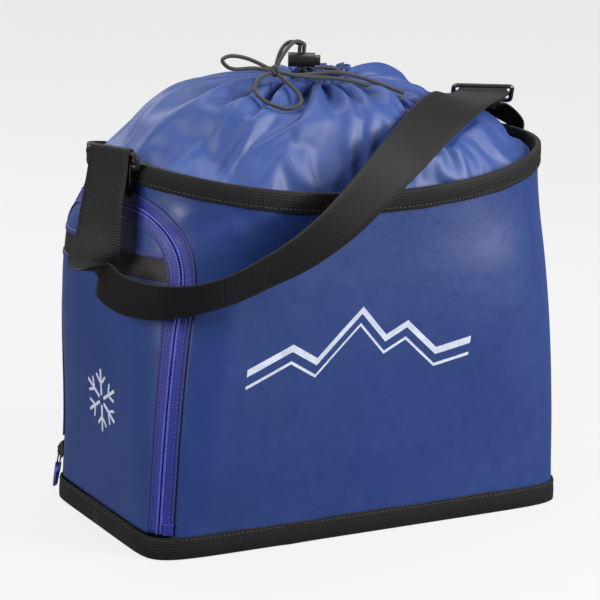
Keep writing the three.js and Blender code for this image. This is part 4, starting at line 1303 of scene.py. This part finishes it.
def collar():
    nu, nv = (300, 52)
    grid = collar_grid(nu, nv)
    grid = cloth_run(grid, nu, nv)
    flat = grid.reshape(-1, 3)
    flat = kept_under(flat)
    flat[:, 2] = np.minimum(flat[:, 2], TOP_LIMIT)
    grid = flat.reshape(nu, nv, 3)
    for _ in range(2):
        grid[:, 4:-3] = 0.5 * grid[:, 4:-3] + 0.125 * (
            np.roll(grid, 1, 0)[:, 4:-3] + np.roll(grid, -1, 0)[:, 4:-3] + grid[:, 3:-4] + grid[:, 5:-2]
        )
    normal = grid_normals(grid, True)
    if normal[:, nv // 2, 2].mean() < 0:
        normal = -normal
    verts, faces = slab_grid(grid, 1.3, normal, True)
    s = np.linspace(0, 1100, nu)[:, None] * np.ones((1, nv))
    t = np.ones((nu, 1)) * np.linspace(0, 200, nv)[None]
    uv = grid_uv(s, t)
    piece = make("gathered_top", verts, turned_out(verts, faces), TOP_CLOTH, None, True, uv)
    sub = piece.modifiers.new("smooth", "SUBSURF")
    sub.levels = sub.render_levels = 1
    bpy.context.view_layer.update()
    final = bpy.data.meshes.new_from_object(piece.evaluated_get(bpy.context.evaluated_depsgraph_get()))
    piece.modifiers.clear()
    piece.data = final
    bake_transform(piece)
    stands_for(piece, "collar_fabric", "collar")


collar()


def neck_ruffle():
    """The cloth's edge above the cord: a short stand-up hem bunched into tight flutes."""
    nu, nv = 480, 18
    a = np.linspace(0, 2 * math.pi, nu, endpoint=False)
    rng = np.random.default_rng(5)
    lobes = ((13, 1.0), (21, 0.7), (8, 0.5), (29, 0.3))
    wave = sum(size * np.cos(k * a + rng.uniform(0, 2 * math.pi)) for k, size in lobes) / 1.7
    drift = 0.09 * np.sin(5 * a + 0.4) + 0.05 * np.sin(11 * a)
    grid = np.zeros((nu, nv, 3))
    for j in range(nv):
        v = j / (nv - 1)
        r = 24.2 - 1.4 * math.sin(math.pi * v) + 4.2 * float(smooth(v, 0.45, 1))
        r = r + wave * lerp(1.1, 3.4, float(smooth(v, 0.2, 1)))
        z = 422 + 16.5 * v + v * v * (2.4 * np.cos(3 * a + 1) + 1.3 * np.cos(7 * a)) - 0.8 * v * np.abs(wave)
        turn = a + drift * v
        grid[:, j] = np.stack([r * np.cos(turn), r * np.sin(turn), z], -1)
    verts, faces = slab_grid(grid, 1.1, grid_normals(grid, True), True)
    flat = np.stack(np.meshgrid(a * 25, np.linspace(0, 20, nv), indexing="ij"), -1).reshape(-1, 2)
    uv = np.tile(flat, (2, 1))
    piece = make("neck_ruffle", verts, turned_out(verts, faces), TOP_CLOTH, "neck", True, uv)
    stands_for(piece, "collar_fabric", "collar_hem")


neck_ruffle()


# ---- Hardware and flat parts whose shape is already right: better materials
NODE_MATERIALS = {
    "left_ring": PLASTIC,
    "strap_adjuster": PLASTIC,
    "zip_slider_body": METAL,
    "zip_pull_loop": METAL,
    "zip_pull_tab": moulded("tab_fabric", (0.03, 0.045, 0.26), 0.5, 0.4),
    "cord_lock_body": PLASTIC,
    "cord_lock_button": PLASTIC,
    "base_panel": moulded("bottom_coating", (0.018, 0.018, 0.019), 0.62, 0.6),
    "base_board": BOARD,
}
for name, material in NODE_MATERIALS.items():
    node_object = frame["nodes"][name]
    node_object.data.materials.clear()
    node_object.data.materials.append(material)

# ---- Floor, light and camera
def stage():
    """A wide, pale, plain floor, which doesn't tint the cloth."""
    half = 30.0
    mesh = bpy.data.meshes.new("floor")
    corners = [(-half, -half, 0), (half, -half, 0), (half, half, 0), (-half, half, 0)]
    mesh.from_pydata(corners, [], [(0, 1, 2, 3)])
    floor = linked("floor", mesh)
    floor.location.z = -0.0003
    floor.visible_diffuse = False
    floor.visible_glossy = False
    m, _, b = tree_of("floor_paint")
    set_inputs(b, {
        "Base Color": (0.08, 0.08, 0.08, 1),
        "Roughness": 0.9,
        "Specular IOR Level": 0.0,
        "Emission Color": (1, 1, 1, 1),
        "Emission Strength": 0.8,
    })
    mesh.materials.append(m)


def lamp(name, place, aim, size, power, colour=(1, 1, 1)):
    light = bpy.data.lights.new(name, "AREA")
    light.shape = "RECTANGLE"
    light.size, light.size_y = size
    light.energy = power
    light.color = colour
    obj = linked(name, light)
    obj.location = place
    obj.rotation_euler = (Vector(aim) - Vector(place)).to_track_quat("-Z", "Y").to_euler()


def camera():
    a, e, roll = math.radians(-29.0), math.radians(13.4), math.radians(1.5)
    back = np.array([math.sin(a) * math.cos(e), -math.cos(a) * math.cos(e), math.sin(e)])
    right0 = np.array([math.cos(a), math.sin(a), 0.0])
    up0 = np.cross(back, right0)
    place = (right0 * -13 + np.array([0, 0, 204]) + back * 2430) / 1000
    right = right0 * math.cos(roll) + up0 * math.sin(roll)
    up = up0 * math.cos(roll) - right0 * math.sin(roll)
    cam = bpy.data.cameras.new("camera")
    cam.lens = 146.4
    cam.sensor_width = 36
    obj = linked("camera", cam)
    obj.matrix_world = Matrix(
        [(right[i], up[i], back[i], place[i]) for i in range(3)] + [(0, 0, 0, 1)]
    )
    bpy.context.scene.camera = obj


stage()
lamp("key", (1.2, -1.2, 1.3), (0.15, -0.1, 0.3), (0.8, 0.8), 26)
lamp("sheen", (1.25, -1.7, 0.75), (0.18, -0.14, 0.32), (0.55, 0.55), 40)
lamp("fill", (-2.2, -0.6, 1.1), (0, 0, 0.25), (1.0, 1.0), 52)
lamp("top", (0.0, 0.2, 2.2), (0, 0, 0.3), (1.4, 1.4), 26)
lamp("back", (-0.3, 2.2, 1.5), (0, 0, 0.3), (1.4, 1.0), 18)


def surroundings():
    """Pale to the camera, dimmer as light, so that the cloth keeps its depth."""
    world = bpy.context.scene.world or bpy.data.worlds.new("studio")
    bpy.context.scene.world = world
    world.use_nodes = True
    t = world.node_tree
    path = t.nodes.new("ShaderNodeLightPath")
    amount = scaled(t, path.outputs["Is Camera Ray"], 0.71, 0.2)
    t.nodes["Background"].inputs["Color"].default_value = (1, 1, 1, 1)
    t.links.new(amount, t.nodes["Background"].inputs["Strength"])


surroundings()
bpy.context.scene.view_settings.view_transform = "Standard"
camera()
